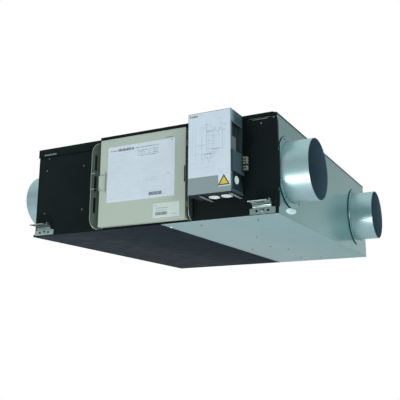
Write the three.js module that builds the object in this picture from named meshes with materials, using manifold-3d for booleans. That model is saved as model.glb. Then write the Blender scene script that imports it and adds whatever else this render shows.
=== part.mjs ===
// Ceiling-hung heat recovery ventilator, in millimetres, +Z up.
// The unit's own origin is the centre of the casing's underside. Everything is laid out from the
// casing's front left bottom corner: X runs right along the front, Y runs back, Z runs up.

import * as THREE from 'three';
import { mergeVertices } from 'three/addons/utils/BufferGeometryUtils.js';
import Module from 'manifold-3d';

const wasm = await Module();
wasm.setup();

// ---------------------------------------------------------------- driving dimensions
const CASE_W = 888;
const CASE_D = 1016;
const CASE_H = 305;
const SHEET = 1.2;
const GAP = 0.4;

const DUCT_R = 94; // outside of a spigot for 200 mm duct
const DUCT_WALL = 1.2;
const DUCT_LENGTH = { left: 64, right: 87.5 };
const DUCT_FLANGE_R = 113;
const DUCT_Z = 146;
const DUCT_FRONT_Y = 109;
const DUCT_REAR_Y = 866;
const PANEL_HOLE_R = 96;
const FLANGE_FLAT_Y = 12.6; // the front flanges stop here, just behind the front panel's return

const LINER_SPLIT_X = 500; // joint between the two underside panels
const TRAY_OVERHANG = 7;
const TRAY_RIM_H = 9;

const OPENING = { x: [290, 592], z: [14, 290] }; // service opening in the front
const FRAME_X = [262, 612];
const DOOR_X = [279, 598];
const DOOR_Z = [7, 295.6];
const DOOR_FRONT_Y = -24;
const DOOR_BACK_Y = -2.4;
const PLUG_X = [295, 586];
const PLUG_Z = [18, 286];
const PLUG_BACK_Y = 18;

const EAR_Z = [4, 294];
const EAR_SLOTS_Z = [[57, 109], [129, 181], [200, 253]];
const EAR_SLOT_W = 8;
const EAR_CORNER_H = 42;
const LATCH_EAR_W = 31;
const EAR_SLOT_AT = 0.55; // of a flange's width
const LATCH_EAR_X = 266;
const LATCH_FOOT_X = [LATCH_EAR_X - 1, 282];
const HINGE_EAR_X = 608.4;
const HINGE_FOOT_X = [597, HINGE_EAR_X + SHEET];
const HINGE_EAR_Y = -24;

const HINGE_AXIS = [603.5, -20];
const HINGE_PIN_R = 2.3;
const HINGE_BORE_R = 2.95;
const KNUCKLE_R = 4;
const KNUCKLE_H = 16;
const HINGE_LOW_Z = 44;
const HINGE_HIGH_Z = 236;

const CLIP_AXIS = [301.4, -28];
const CLIP_KNUCKLE_R = 3;
const CLIP_BORE_R = 2.1;
const CLIP_PIN_R = 1.4;
const CLIP_Z = [126, 177];
const CLIP_LOOP_Z = [134, 186];
const CLIP_LOOP_X = [243, 286];
const WIRE_R = 1.5;

const BOX_X = [641, 780];
const BOX_Z = [59.5, 306.5];
const BOX_FRONT_Y = -83.4;
const BOX_BACK_Y = -2.8;

const WALL_LEFT_X = 284; // bulkheads beside the exchanger cores
const WALL_RIGHT_X = 594.8;
const DIVIDER_Y = 507.4;
const CORE_END_Y = 905;
const CORE_X = 440;
const CORE_Z = 151;
const CORE_HALF = 131; // half the diagonal of the square core
const CORE_RUNS = [[24, 460], [464, 900]];
const CORE_PITCH = 26;
const CORE_PASSAGE = 3.5;
const BYPASS_Y = [924, 1002];
const BYPASS_Z = [26, 208];

const FAN_BASE_Z = 62;
const FAN_TOP_Z = 230;
const FAN_OFFSET_Y = 81; // from a spigot's axis to its fan's axis
const INLET_R = 70;
const SCROLL_START = -Math.PI / 18;
const SCROLL_SWEEP = Math.PI * 14 / 9;
const SCROLL_R0 = 100;
const SCROLL_R1 = 150;
const SCROLL_OUTLET_X = 142;
const WHEEL_R = 88;
const WHEEL_EYE_R = 73;
const WHEEL_BLADES = 16;
const MOTOR_R = 46;
const MOTOR_TOP_Z = 290;
const MOTOR_SHAFT_R = 5;

const DAMPER_AXIS = [613, 963];
const FLAP_HALF = 39.5;
const SPINDLE_R = 3.5;
const SPINDLE_BORE_R = 4.4;

// ---------------------------------------------------------------- materials
function finish(color, roughness, metalness) {
  return new THREE.MeshStandardMaterial({ color, roughness, metalness });
}

const blackSteel = finish(0x171c1d, 0.55, 0.2);
const slateSteel = finish(0x2c3440, 0.6, 0.2);
const galvanised = finish(0x9fb0b2, 0.38, 0.8);
const ductSteel = finish(0xb4c3c6, 0.25, 0.9);
const coverSteel = finish(0xa9b8ac, 0.5, 0.3);
const boxSteel = finish(0x4a5a68, 0.5, 0.4);
const labelWhite = finish(0xc4d2de, 0.6, 0);
const zinc = finish(0xc2ccce, 0.35, 0.9);
const foam = finish(0xd9d7cf, 0.95, 0);
const rubber = finish(0x1c1c1c, 0.9, 0);
const paper = finish(0xd6cdb8, 0.9, 0);
const filterCloth = finish(0xe4e6e4, 1, 0);
const innerPlastic = finish(0x3a3f43, 0.7, 0);
const connectorPlastic = finish(0xd9d6b6, 0.5, 0);
const boardGreen = finish(0x2f6a4a, 0.6, 0);

// ---------------------------------------------------------------- shape helpers
function block([x0, x1], [y0, y1], [z0, z1]) {
  const geometry = new THREE.BoxGeometry(x1 - x0, y1 - y0, z1 - z0);
  return geometry.translate((x0 + x1) / 2, (y0 + y1) / 2, (z0 + z1) / 2);
}

// A cylinder along Z standing at (x, y).
function postZ(radius, x, y, [z0, z1], sides = 24) {
  const geometry = new THREE.CylinderGeometry(radius, radius, z1 - z0, sides);
  return geometry.rotateX(Math.PI / 2).translate(x, y, (z0 + z1) / 2);
}

// A cylinder along X.
function postX(radius, [x0, x1], y, z, sides = 24) {
  const geometry = new THREE.CylinderGeometry(radius, radius, x1 - x0, sides);
  return geometry.rotateZ(Math.PI / 2).translate((x0 + x1) / 2, y, z);
}

// A cylinder along Y.
function postY(radius, x, [y0, y1], z, sides = 24) {
  const geometry = new THREE.CylinderGeometry(radius, radius, y1 - y0, sides);
  return geometry.translate(x, (y0 + y1) / 2, z);
}

function outline(points) {
  return new THREE.Shape(points.map(([u, v]) => new THREE.Vector2(u, v)));
}

function slab(shape, depth, curveSegments = 6) {
  return new THREE.ExtrudeGeometry(shape, { depth, bevelEnabled: false, curveSegments });
}

// Extrudes a shape drawn in (y, z) along X.
function prismX(shape, [x0, x1]) {
  const turn = new THREE.Matrix4().makeBasis(
    new THREE.Vector3(0, 1, 0),
    new THREE.Vector3(0, 0, 1),
    new THREE.Vector3(1, 0, 0),
  );
  return slab(shape, x1 - x0).applyMatrix4(turn).translate(x0, 0, 0);
}

// Extrudes a shape drawn in (x, z) along Y.
function prismY(shape, [y0, y1]) {
  const turn = new THREE.Matrix4().makeBasis(
    new THREE.Vector3(1, 0, 0),
    new THREE.Vector3(0, 0, 1),
    new THREE.Vector3(0, -1, 0),
  );
  return slab(shape, y1 - y0).applyMatrix4(turn).translate(0, y1, 0);
}

// Extrudes a shape drawn in (x, y) along Z.
function prismZ(shape, [z0, z1]) {
  return slab(shape, z1 - z0).translate(0, 0, z0);
}

// Turns a closed profile of [radius, height] points about the Z axis.
function turned(profile, sides) {
  const points = profile.map(([r, h]) => new THREE.Vector2(r, h));
  return new THREE.LatheGeometry(points, sides).rotateX(Math.PI / 2);
}

function toSolid(geometry) {
  const bare = geometry.clone();
  bare.deleteAttribute('normal');
  bare.deleteAttribute('uv');
  const merged = mergeVertices(bare, 1e-4);
  return new wasm.Manifold(new wasm.Mesh({
    numProp: 3,
    vertProperties: new Float32Array(merged.attributes.position.array),
    triVerts: new Uint32Array(merged.index.array),
  }));
}

function toGeometry(solid) {
  const mesh = solid.getMesh();
  const geometry = new THREE.BufferGeometry();
  geometry.setAttribute('position', new THREE.BufferAttribute(mesh.vertProperties, 3));
  geometry.setIndex(new THREE.BufferAttribute(mesh.triVerts, 1));
  geometry.computeVertexNormals();
  return geometry;
}

function join(...pieces) {
  return toGeometry(pieces.map(toSolid).reduce((sum, piece) => sum.add(piece)));
}

function cut(body, ...tools) {
  return toGeometry(tools.map(toSolid).reduce((rest, tool) => rest.subtract(tool), toSolid(body)));
}

// ---------------------------------------------------------------- the assembly
const unit = new THREE.Group();
const assembly = new THREE.Group();
assembly.position.set(-CASE_W / 2, -CASE_D / 2, 0);
unit.add(assembly);

function place(name, geometry, material, group = assembly) {
  const mesh = new THREE.Mesh(geometry, material);
  mesh.name = name;
  group.add(mesh);
}

const INNER_Z = [SHEET + GAP, CASE_H - SHEET - GAP];
const FRONT_SHEET_Y = [0, SHEET];

// ---------------------------------------------------------------- casing shell
function undersidePanels() {
  const trayX = [-TRAY_OVERHANG, LINER_SPLIT_X - GAP];
  const floor = block(trayX, [0, CASE_D], [0, SHEET]);
  const rim = block([-TRAY_OVERHANG, SHEET - TRAY_OVERHANG], [0, CASE_D], [0, TRAY_RIM_H]);
  place('underside_panel_left', join(floor, rim), slateSteel);
  const rightFloor = block([LINER_SPLIT_X, CASE_W], [0, CASE_D], [0, SHEET]);
  place('underside_panel_right', rightFloor, galvanised);
}

function endPanel(name, x) {
  const sheet = block([x, x + SHEET], [SHEET + GAP, CASE_D], INNER_Z);
  const through = [x - SHEET, x + 2 * SHEET];
  const holes = [DUCT_FRONT_Y, DUCT_REAR_Y].map((y) => postX(PANEL_HOLE_R, through, y, DUCT_Z, 32));
  place(name, cut(sheet, ...holes), galvanised);
}

function frontPanels() {
  const leftX = [0, FRAME_X[0] - GAP];
  place('front_left_panel', block(leftX, FRONT_SHEET_Y, INNER_Z), blackSteel);

  // The right panel wraps round the casing's corner as a narrow return with rounded ends.
  const returnX = [CASE_W + GAP, CASE_W + GAP + SHEET];
  const returnDepth = 12;
  const [low, high] = [30, 277];
  const wrap = new THREE.Shape();
  wrap.moveTo(0, low - returnDepth);
  wrap.quadraticCurveTo(returnDepth, low - returnDepth, returnDepth, low + returnDepth);
  wrap.lineTo(returnDepth, high - returnDepth);
  wrap.quadraticCurveTo(returnDepth, high + returnDepth, 0, high + returnDepth);
  wrap.closePath();
  const sheet = block([FRAME_X[1] + GAP, returnX[1]], FRONT_SHEET_Y, INNER_Z);
  place('front_right_panel', join(sheet, prismX(wrap, returnX)), blackSteel);

  const ring = block(FRAME_X, FRONT_SHEET_Y, INNER_Z);
  const opening = block(OPENING.x, [-SHEET, 2 * SHEET], OPENING.z);
  place('service_opening_frame', cut(ring, opening), galvanised);
}

function topRail() {
  const overhang = 4;
  const leftOverhang = 2;
  const leftDrop = 29;
  const top = CASE_H + 2;
  const thinZ = [DOOR_Z[1] + 1, top];
  const left = block([-leftOverhang, FRAME_X[0]], [-3.4, -GAP], [top - leftDrop, top]);
  const neck = block([FRAME_X[0], DOOR_X[0]], [-3.4, -GAP], thinZ);
  const head = block([DOOR_X[0], FRAME_X[1] + overhang], [-26, -GAP], [thinZ[0], CASE_H]);
  // The right end is bevelled down to the casing's corner.
  const right = outline([
    [FRAME_X[1] + overhang, thinZ[0]],
    [CASE_W + 2, thinZ[0]],
    [CASE_W + 2, top - 5],
    [CASE_W - 12, top],
    [FRAME_X[1] + overhang, top],
  ]);
  place('front_top_rail', join(left, neck, head, prismY(right, [-2.4, -GAP])), blackSteel);
}

function shell() {
  undersidePanels();
  endPanel('left_end_panel', 0);
  endPanel('right_end_panel', CASE_W - SHEET);
  const rearX = [SHEET + GAP, CASE_W - SHEET - GAP];
  place('rear_panel', block(rearX, [CASE_D - SHEET, CASE_D], INNER_Z), galvanised);
  place('top_panel', block([0, CASE_W], [0, CASE_D], [CASE_H - SHEET, CASE_H]), galvanised);
  frontPanels();
  topRail();
}

// ---------------------------------------------------------------- duct spigots
function spigot(name, y, onRight) {
  const inside = DUCT_R - DUCT_WALL;
  const length = onRight ? DUCT_LENGTH.right : DUCT_LENGTH.left;
  const profile = [
    [inside, GAP],
    [DUCT_FLANGE_R, GAP],
    [DUCT_FLANGE_R, GAP + 2],
    [DUCT_R + 2.5, GAP + 2],
    [DUCT_R, GAP + 4.5],
    [DUCT_R, length],
    [inside, length],
    [inside, GAP],
  ];
  const group = new THREE.Group();
  group.position.set(onRight ? CASE_W : 0, y, DUCT_Z);
  group.rotation.y = onRight ? Math.PI / 2 : -Math.PI / 2;
  assembly.add(group);
  const round = turned(profile, 36);
  // The flange is trimmed flat where it would run past the casing's front corner.
  const flatY = FLANGE_FLAT_Y - y;
  const wide = [-2 * DUCT_FLANGE_R, 2 * DUCT_FLANGE_R];
  const trim = block(wide, [flatY - 2 * DUCT_FLANGE_R, flatY], [-GAP, length + GAP]);
  place(name, cut(round, trim), ductSteel, group);
}

// ---------------------------------------------------------------- hanging brackets
function hangingBracket(name, x, atRear) {
  const thick = 2.3;
  const neckX = [-29.4, 29.4];
  const baseX = [-39.8, 39.8];
  const baseZ = [3, 20.6];
  const plateY = -44;
  const plateZ = 32.4;
  const jogY = -6.1;
  const side = outline([
    [-GAP, baseZ[0]],
    [-GAP, 23.2],
    [jogY, 28.4],
    [jogY, plateZ + thick],
    [plateY, plateZ + thick],
    [plateY, plateZ],
    [jogY - thick, plateZ],
    [jogY - thick, 27.4],
    [-GAP - thick, 22.2],
    [-GAP - thick, baseZ[0]],
  ]);
  const base = block(baseX, [-GAP - thick, -GAP], baseZ);
  const tab = block([neckX[1], neckX[1] + thick], [-28, -14], [plateZ, 41.4]);
  const lance = block([-3, 3], [-GAP - thick - 3, -GAP - thick + 0.5], [8, 15]);
  const body = join(prismX(side, neckX), base, tab, lance);
  const slotHalf = 9;
  const slotR = 6.2;
  const slotY = -27;
  const slotX = 3;
  const slotZ = [plateZ - thick, plateZ + 2 * thick];
  const slot = join(
    block([slotX - slotHalf, slotX + slotHalf], [slotY - slotR, slotY + slotR], slotZ),
    postZ(slotR, slotX - slotHalf, slotY, slotZ, 16),
    postZ(slotR, slotX + slotHalf, slotY, slotZ, 16),
  );
  const screwR = 2.8;
  const screwZ = 12;
  const screwHoles = [-18, 18].map((u) => postY(screwR, u, [-GAP - 2 * thick, GAP], screwZ, 12));
  const group = new THREE.Group();
  group.position.set(x, atRear ? CASE_D : 0, 0);
  group.rotation.z = atRear ? Math.PI : 0;
  assembly.add(group);
  place(name, cut(body, slot, ...screwHoles), zinc, group);
}

// ---------------------------------------------------------------- flanges beside the service door
// A flange with softly rounded outer corners: u runs outwards, v runs up.
function earShape(width) {
  const height = EAR_Z[1] - EAR_Z[0];
  const shape = new THREE.Shape();
  shape.moveTo(0, 0);
  shape.quadraticCurveTo(width, 0, width, EAR_CORNER_H);
  shape.lineTo(width, height - EAR_CORNER_H);
  shape.quadraticCurveTo(width, height, 0, height);
  shape.closePath();
  return shape;
}

function earSlots(u, thick) {
  return EAR_SLOTS_Z.map(([z0, z1]) => block(
    [u - EAR_SLOT_W / 2, u + EAR_SLOT_W / 2],
    [z0 - EAR_Z[0], z1 - EAR_Z[0]],
    [-thick, 2 * thick],
  ));
}

function latchFlange() {
  const lean = Math.SQRT1_2;
  const stand = new THREE.Matrix4().makeBasis(
    new THREE.Vector3(-lean, -lean, 0),
    new THREE.Vector3(0, 0, 1),
    new THREE.Vector3(-lean, lean, 0),
  );
  stand.setPosition(LATCH_EAR_X, -GAP - SHEET, EAR_Z[0]);
  const ear = cut(slab(earShape(LATCH_EAR_W), SHEET), ...earSlots(LATCH_EAR_W * EAR_SLOT_AT, SHEET));
  const foot = block(LATCH_FOOT_X, [-GAP - SHEET, -GAP], EAR_Z);
  place('latch_flange', join(ear.applyMatrix4(stand), foot), coverSteel);
}

function hingeFlange() {
  const width = -HINGE_EAR_Y - GAP;
  const stand = new THREE.Matrix4().makeBasis(
    new THREE.Vector3(0, -1, 0),
    new THREE.Vector3(0, 0, 1),
    new THREE.Vector3(-1, 0, 0),
  );
  stand.setPosition(HINGE_EAR_X + SHEET, -GAP, EAR_Z[0]);
  const ear = cut(slab(earShape(width), SHEET), ...earSlots(width * EAR_SLOT_AT, SHEET));
  const foot = block(HINGE_FOOT_X, [-GAP - SHEET, -GAP], EAR_Z);
  place('hinge_flange', join(ear.applyMatrix4(stand), foot), coverSteel);
}

// ---------------------------------------------------------------- service door
function serviceDoor() {
  const shellOuter = block(DOOR_X, [DOOR_FRONT_Y, DOOR_BACK_Y], DOOR_Z);
  const within = (range, inset) => [range[0] + inset, range[1] - inset];
  const hollow = block(within(DOOR_X, SHEET), [DOOR_FRONT_Y + SHEET, 0], within(DOOR_Z, SHEET));
  place('door_panel', cut(shellOuter, hollow), coverSteel);

  const slabX = within(DOOR_X, SHEET + GAP);
  const slabZ = within(DOOR_Z, SHEET + GAP);
  const backY = DOOR_BACK_Y - GAP;
  const slabFoam = block(slabX, [DOOR_FRONT_Y + SHEET + GAP, backY], slabZ);
  const plug = block(PLUG_X, [backY - 1, PLUG_BACK_Y], PLUG_Z);
  place('door_insulation', join(slabFoam, plug), foam);

  const sealY = [DOOR_BACK_Y, -GAP];
  const sealOuter = block(within(DOOR_X, 4), sealY, within(DOOR_Z, 4));
  const sealInner = block([PLUG_X[0] - 3, PLUG_X[1] + 3], [sealY[0] - 1, sealY[1] + 1], within(PLUG_Z, -2));
  place('door_gasket', cut(sealOuter, sealInner), rubber);
}

function doorHinge(tag, z) {
  const [x, y] = HINGE_AXIS;
  const knuckleZ = [z, z + KNUCKLE_H];
  const strap = block([DOOR_X[1] + GAP, 600.4], [y - 2, y + 14], knuckleZ);
  const knuckle = join(postZ(KNUCKLE_R, x, y, knuckleZ, 20), strap);
  const bore = postZ(HINGE_BORE_R, x, y, [z - 1, z + KNUCKLE_H + 1], 20);
  place(`door_hinge_${tag}`, cut(knuckle, bore), zinc);

  const tabZ = [z - 2.5, z - 0.5];
  const disc = postZ(4.6, x, y, tabZ, 20);
  const tab = block([x, HINGE_EAR_X - GAP], [y - 4, y + 4], tabZ);
  const pin = postZ(HINGE_PIN_R, x, y, [z - 1, z + KNUCKLE_H + 2], 16);
  place(`hinge_bracket_${tag}`, join(disc, tab, pin), zinc);
}

function latchClip() {
  const [x, y] = CLIP_AXIS;
  const plateY = [DOOR_FRONT_Y - 2.4, DOOR_FRONT_Y - GAP];
  const plate = block([DOOR_X[0] - 3, x], plateY, CLIP_Z);
  const knuckle = postZ(CLIP_KNUCKLE_R, x, y, CLIP_Z, 16);
  const wireY = DOOR_FRONT_Y - 2.9;
  const [loopLeft, loopRight] = CLIP_LOOP_X;
  const bars = CLIP_LOOP_Z.map((z) => postX(WIRE_R, CLIP_LOOP_X, wireY, z, 8));
  const ends = [loopLeft, loopRight].map((u) => postZ(WIRE_R, u, wireY, CLIP_LOOP_Z, 8));
  const bore = postZ(CLIP_BORE_R, x, y, [CLIP_Z[0] - 1, CLIP_Z[1] + 1], 16);
  place('latch_clip', cut(join(plate, knuckle, ...bars, ...ends), bore), zinc);

  // Two lugs on the door, joined by the pin the clip turns on.
  const lugThick = 3;
  const lugBases = [CLIP_Z[0] - lugThick - 1, CLIP_Z[1] + 1];
  const lugs = lugBases.map((z) => block(
    [x - CLIP_KNUCKLE_R, x + CLIP_KNUCKLE_R],
    [y - CLIP_KNUCKLE_R, DOOR_FRONT_Y - GAP],
    [z, z + lugThick],
  ));
  const pin = postZ(CLIP_PIN_R, x, y, [lugBases[0] + 0.5, lugBases[1] + lugThick - 0.5], 12);
  place('clip_bracket', join(...lugs, pin), zinc);
}

// ---------------------------------------------------------------- control box
function controlBox() {
  const wall = 1.5;
  const [left, right] = BOX_X;
  const bodyY = [BOX_FRONT_Y, BOX_BACK_Y];
  const outer = block(BOX_X, bodyY, BOX_Z);
  const inner = block(
    [left + wall, right - wall],
    [BOX_FRONT_Y - 1, BOX_BACK_Y - wall],
    [BOX_Z[0] + wall, BOX_Z[1] - wall],
  );
  // A recess in the right-hand side above the raised terminal cover.
  const pocketX = right - 10;
  const pocketY = [-80, -12];
  const pocketZ = [185, 270];
  const grow = ([a, b]) => [a - wall, b + wall];
  const pocketShell = block([pocketX - wall, right], grow(pocketY), grow(pocketZ));
  const pocket = block([pocketX, right + 1], pocketY, pocketZ);
  const cableHole = postX(8, [pocketX - 2 * wall, right], -60, 246, 20);
  const sideKnockout = postX(13, [right - 2 * wall, right + wall], -51, 97, 24);
  const floorKnockouts = [708, 748].map((x) => postZ(14, x, -46, [BOX_Z[0] - wall, BOX_Z[0] + 2 * wall]));
  const raisedCover = block([right - wall, right + 4], [-82, -3.5], [119, 182]);
  const tray = cut(outer, inner);
  const withPocket = cut(join(tray, pocketShell, raisedCover), pocket);
  place('control_box_body', cut(withPocket, cableHole, sideKnockout, ...floorKnockouts), boxSteel);

  place('control_box_cover', block(BOX_X, [BOX_FRONT_Y - 1.6, BOX_FRONT_Y - GAP], BOX_Z), labelWhite);

  const boardY = -22;
  const board = block([650, 764], [boardY, boardY + 1.6], [150, 294]);
  const relays = [0, 1, 2, 3].map((i) => block(
    [658 + i * 26, 676 + i * 26],
    [boardY - 15, boardY + 0.5],
    [158, 182],
  ));
  const capacitors = [0, 1].map((i) => postY(9, 672 + i * 28, [boardY - 28, boardY + 0.5], 222, 16));
  place('circuit_board', join(board, ...relays, ...capacitors), boardGreen);

  const stripY = [-30, BOX_BACK_Y - wall - GAP];
  const rail = block([652, 768], stripY, [84, 98]);
  const poles = [0, 1, 2, 3, 4, 5, 6].map((i) => block(
    [655 + i * 16, 667 + i * 16],
    [-40, stripY[1]],
    [78, 104],
  ));
  place('terminal_block', join(rail, ...poles), innerPlastic);

  const feet = block([660, 724], [-8, BOX_BACK_Y - wall - GAP], [112, 144]);
  const coreStack = block([666, 718], [-48, -7.5], [112, 144]);
  place('transformer', join(feet, coreStack), innerPlastic);

  const plugX = [right + 4 + GAP, right + 26];
  const socket = block([plugX[0], plugX[0] + 2], [-24, -5], [131, 177]);
  const upper = block(plugX, [-22, -7], [152, 175]);
  const lower = block(plugX, [-22, -7], [133, 147]);
  place('side_connectors', join(socket, upper, lower), connectorPlastic);
}

// ---------------------------------------------------------------- air path inside
function bulkheads() {
  const depth = [SHEET + GAP, CASE_D - SHEET - GAP];
  const holeX = (x) => [x - 1, x + SHEET + 1];
  const low = [20, 130];
  const high = [172, 285];
  const front = [60, 440];
  const rear = [560, 880];
  const bypass = [BYPASS_Y, BYPASS_Z];
  const left = block([WALL_LEFT_X, WALL_LEFT_X + SHEET], depth, INNER_Z);
  const leftHoles = [
    block(holeX(WALL_LEFT_X), front, low),
    block(holeX(WALL_LEFT_X), rear, high),
    block(holeX(WALL_LEFT_X), ...bypass),
  ];
  place('bulkhead_outdoor_side', cut(left, ...leftHoles), galvanised);
  const right = block([WALL_RIGHT_X, WALL_RIGHT_X + SHEET], depth, INNER_Z);
  const rightHoles = [
    block(holeX(WALL_RIGHT_X), front, high),
    block(holeX(WALL_RIGHT_X), rear, low),
    block(holeX(WALL_RIGHT_X), ...bypass),
  ];
  place('bulkhead_room_side', cut(right, ...rightHoles), galvanised);

  const dividerY = [DIVIDER_Y, DIVIDER_Y + SHEET];
  const leftX = [SHEET + GAP, WALL_LEFT_X - GAP];
  const rightX = [WALL_RIGHT_X + SHEET + GAP, CASE_W - SHEET - GAP];
  place('divider_outdoor_side', block(leftX, dividerY, INNER_Z), galvanised);
  place('divider_room_side', block(rightX, dividerY, INNER_Z), galvanised);
  const endX = [WALL_LEFT_X + SHEET + GAP, WALL_RIGHT_X - GAP];
  place('core_chamber_end_wall', block(endX, [CORE_END_Y, CORE_END_Y + SHEET], INNER_Z), galvanised);
}

function diamond(half) {
  return outline([
    [CORE_X - half, CORE_Z],
    [CORE_X, CORE_Z - half],
    [CORE_X + half, CORE_Z],
    [CORE_X, CORE_Z + half],
  ]);
}

// One square core: flat passages cross it from face to face, turning a quarter at every layer.
function exchangerCore(name, [y0, y1]) {
  const side = CORE_HALF * Math.SQRT2;
  const margin = 12;
  const layers = Math.floor((y1 - y0 - CORE_PASSAGE) / CORE_PITCH);
  const firstY = (y0 + y1) / 2 - ((layers - 1) / 2) * CORE_PITCH;
  const passages = [];
  for (let i = 0; i < layers; i += 1) {
    const slot = new THREE.BoxGeometry(side - 2 * margin, CORE_PASSAGE, side + 4);
    slot.rotateY((i % 2 === 0 ? 1 : -1) * Math.PI / 4);
    slot.translate(CORE_X, firstY + i * CORE_PITCH, CORE_Z);
    passages.push(slot);
  }
  place(name, cut(prismY(diamond(CORE_HALF), [y0, y1]), ...passages), paper);
}

function airFilter(name, [y0, y1], onLeft) {
  const length = 150;
  const thick = 10;
  const stand = CORE_HALF * Math.SQRT1_2 + 8;
  const turn = onLeft ? Math.PI / 4 : -Math.PI / 4;
  const pad = new THREE.BoxGeometry(length, y1 - y0, thick);
  const group = new THREE.Group();
  const shift = stand * Math.SQRT1_2 * (onLeft ? -1 : 1);
  group.position.set(CORE_X + shift, (y0 + y1) / 2, CORE_Z - stand * Math.SQRT1_2);
  group.rotation.y = turn;
  assembly.add(group);
  place(name, pad, filterCloth, group);
}

function coreRails() {
  const run = [SHEET + GAP + 1, CORE_END_Y - GAP];
  const notch = prismY(diamond(CORE_HALF + 1), [run[0] - 1, run[1] + 1]);
  const sideZ = [CORE_Z - 9, CORE_Z + 9];
  const edgeX = [WALL_LEFT_X + SHEET + GAP, WALL_RIGHT_X - GAP];
  const behindPlug = [run[0] + PLUG_BACK_Y, run[1]];
  const middleX = [CORE_X - 14, CORE_X + 14];
  const reach = CORE_HALF - 6;
  const rails = {
    bottom: block(middleX, behindPlug, [INNER_Z[0], CORE_Z - reach]),
    top: block(middleX, behindPlug, [CORE_Z + reach, INNER_Z[1]]),
    left: block([edgeX[0], CORE_X - reach], behindPlug, sideZ),
    right: block([CORE_X + reach, edgeX[1]], behindPlug, sideZ),
  };
  for (const [side, rail] of Object.entries(rails)) {
    place(`core_rail_${side}`, cut(rail, notch), galvanised);
  }
}

function exchanger() {
  exchangerCore('exchanger_core_front', CORE_RUNS[0]);
  exchangerCore('exchanger_core_rear', CORE_RUNS[1]);
  airFilter('outdoor_filter_front', CORE_RUNS[0], true);
  airFilter('outdoor_filter_rear', CORE_RUNS[1], true);
  airFilter('room_filter_front', CORE_RUNS[0], false);
  airFilter('room_filter_rear', CORE_RUNS[1], false);
  coreRails();
}

// ---------------------------------------------------------------- fans
// The scroll's outline about the wheel's axis, drawn inwards by the wall's thickness.
function scrollOutline(inset, outletX) {
  const steps = 22;
  const points = [];
  for (let i = 0; i <= steps; i += 1) {
    const angle = SCROLL_START + SCROLL_SWEEP * i / steps;
    const radius = SCROLL_R0 + (SCROLL_R1 - SCROLL_R0) * i / steps - inset;
    points.push([radius * Math.cos(angle), radius * Math.sin(angle)]);
  }
  const lipY = SCROLL_R0 * Math.sin(SCROLL_START) - inset;
  points.push([outletX, inset - SCROLL_R1]);
  points.push([outletX, lipY]);
  if (inset > 0) {
    points.push([SCROLL_R0 - 2 * inset, lipY]);
  }
  return outline(points);
}

function fan(prefix, x, y, turn) {
  const group = new THREE.Group();
  group.position.set(x, y, 0);
  group.rotation.z = turn;
  assembly.add(group);

  const wall = 1.5;
  const outside = prismZ(scrollOutline(0, SCROLL_OUTLET_X), [FAN_BASE_Z, FAN_TOP_Z]);
  const inside = prismZ(scrollOutline(wall, SCROLL_OUTLET_X + 5), [FAN_BASE_Z + wall, FAN_TOP_Z - wall]);
  const inlet = postZ(INLET_R, 0, 0, [FAN_BASE_Z - 1, FAN_BASE_Z + 2 * wall]);
  const shaftHole = postZ(4 * MOTOR_SHAFT_R, 0, 0, [FAN_TOP_Z - 2 * wall, FAN_TOP_Z + 1], 16);
  place(`${prefix}_fan_scroll`, cut(outside, inside, inlet, shaftHole), galvanised, group);

  // The motor stands on the scroll, and its shaft reaches down through the wheel's hub.
  const shaftEndZ = 190;
  const flangeZ = FAN_TOP_Z + GAP;
  const flangeR = MOTOR_R + 12;
  const motor = [
    [0, shaftEndZ],
    [MOTOR_SHAFT_R, shaftEndZ],
    [MOTOR_SHAFT_R, flangeZ],
    [flangeR, flangeZ],
    [flangeR, flangeZ + 3],
    [MOTOR_R, flangeZ + 3],
    [MOTOR_R, MOTOR_TOP_Z - 8],
    [MOTOR_R - 16, MOTOR_TOP_Z],
    [0, MOTOR_TOP_Z],
  ];
  place(`${prefix}_fan_motor`, turned(motor, 24), innerPlastic, group);

  // The wheel hangs from a disc at its top, and a ring holds its blades together below.
  const hubBore = MOTOR_SHAFT_R + 0.8;
  const hubR = 13;
  const hubZ = 200;
  const disc = [214, 217];
  const hub = [
    [hubBore, hubZ],
    [hubR, hubZ],
    [hubR, disc[0]],
    [WHEEL_R, disc[0]],
    [WHEEL_R, disc[1]],
    [hubBore, disc[1]],
    [hubBore, hubZ],
  ];
  const ringZ = FAN_BASE_Z + wall + 4.5;
  const ringTop = ringZ + 4;
  const ring = [
    [WHEEL_EYE_R, ringZ],
    [WHEEL_R, ringZ],
    [WHEEL_R, ringTop],
    [WHEEL_EYE_R, ringTop],
    [WHEEL_EYE_R, ringZ],
  ];
  const blades = [];
  for (let i = 0; i < WHEEL_BLADES; i += 1) {
    const blade = block([-6, 6], [-0.9, 0.9], [ringTop - 2, disc[0] + 1.5]);
    blade.rotateZ(Math.PI / 5).translate((WHEEL_R + WHEEL_EYE_R - 1) / 2, 0, 0);
    blades.push(blade.rotateZ(i * 2 * Math.PI / WHEEL_BLADES));
  }
  place(`${prefix}_fan_wheel`, join(turned(hub, 24), turned(ring, 24), ...blades), innerPlastic, group);
}

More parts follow.
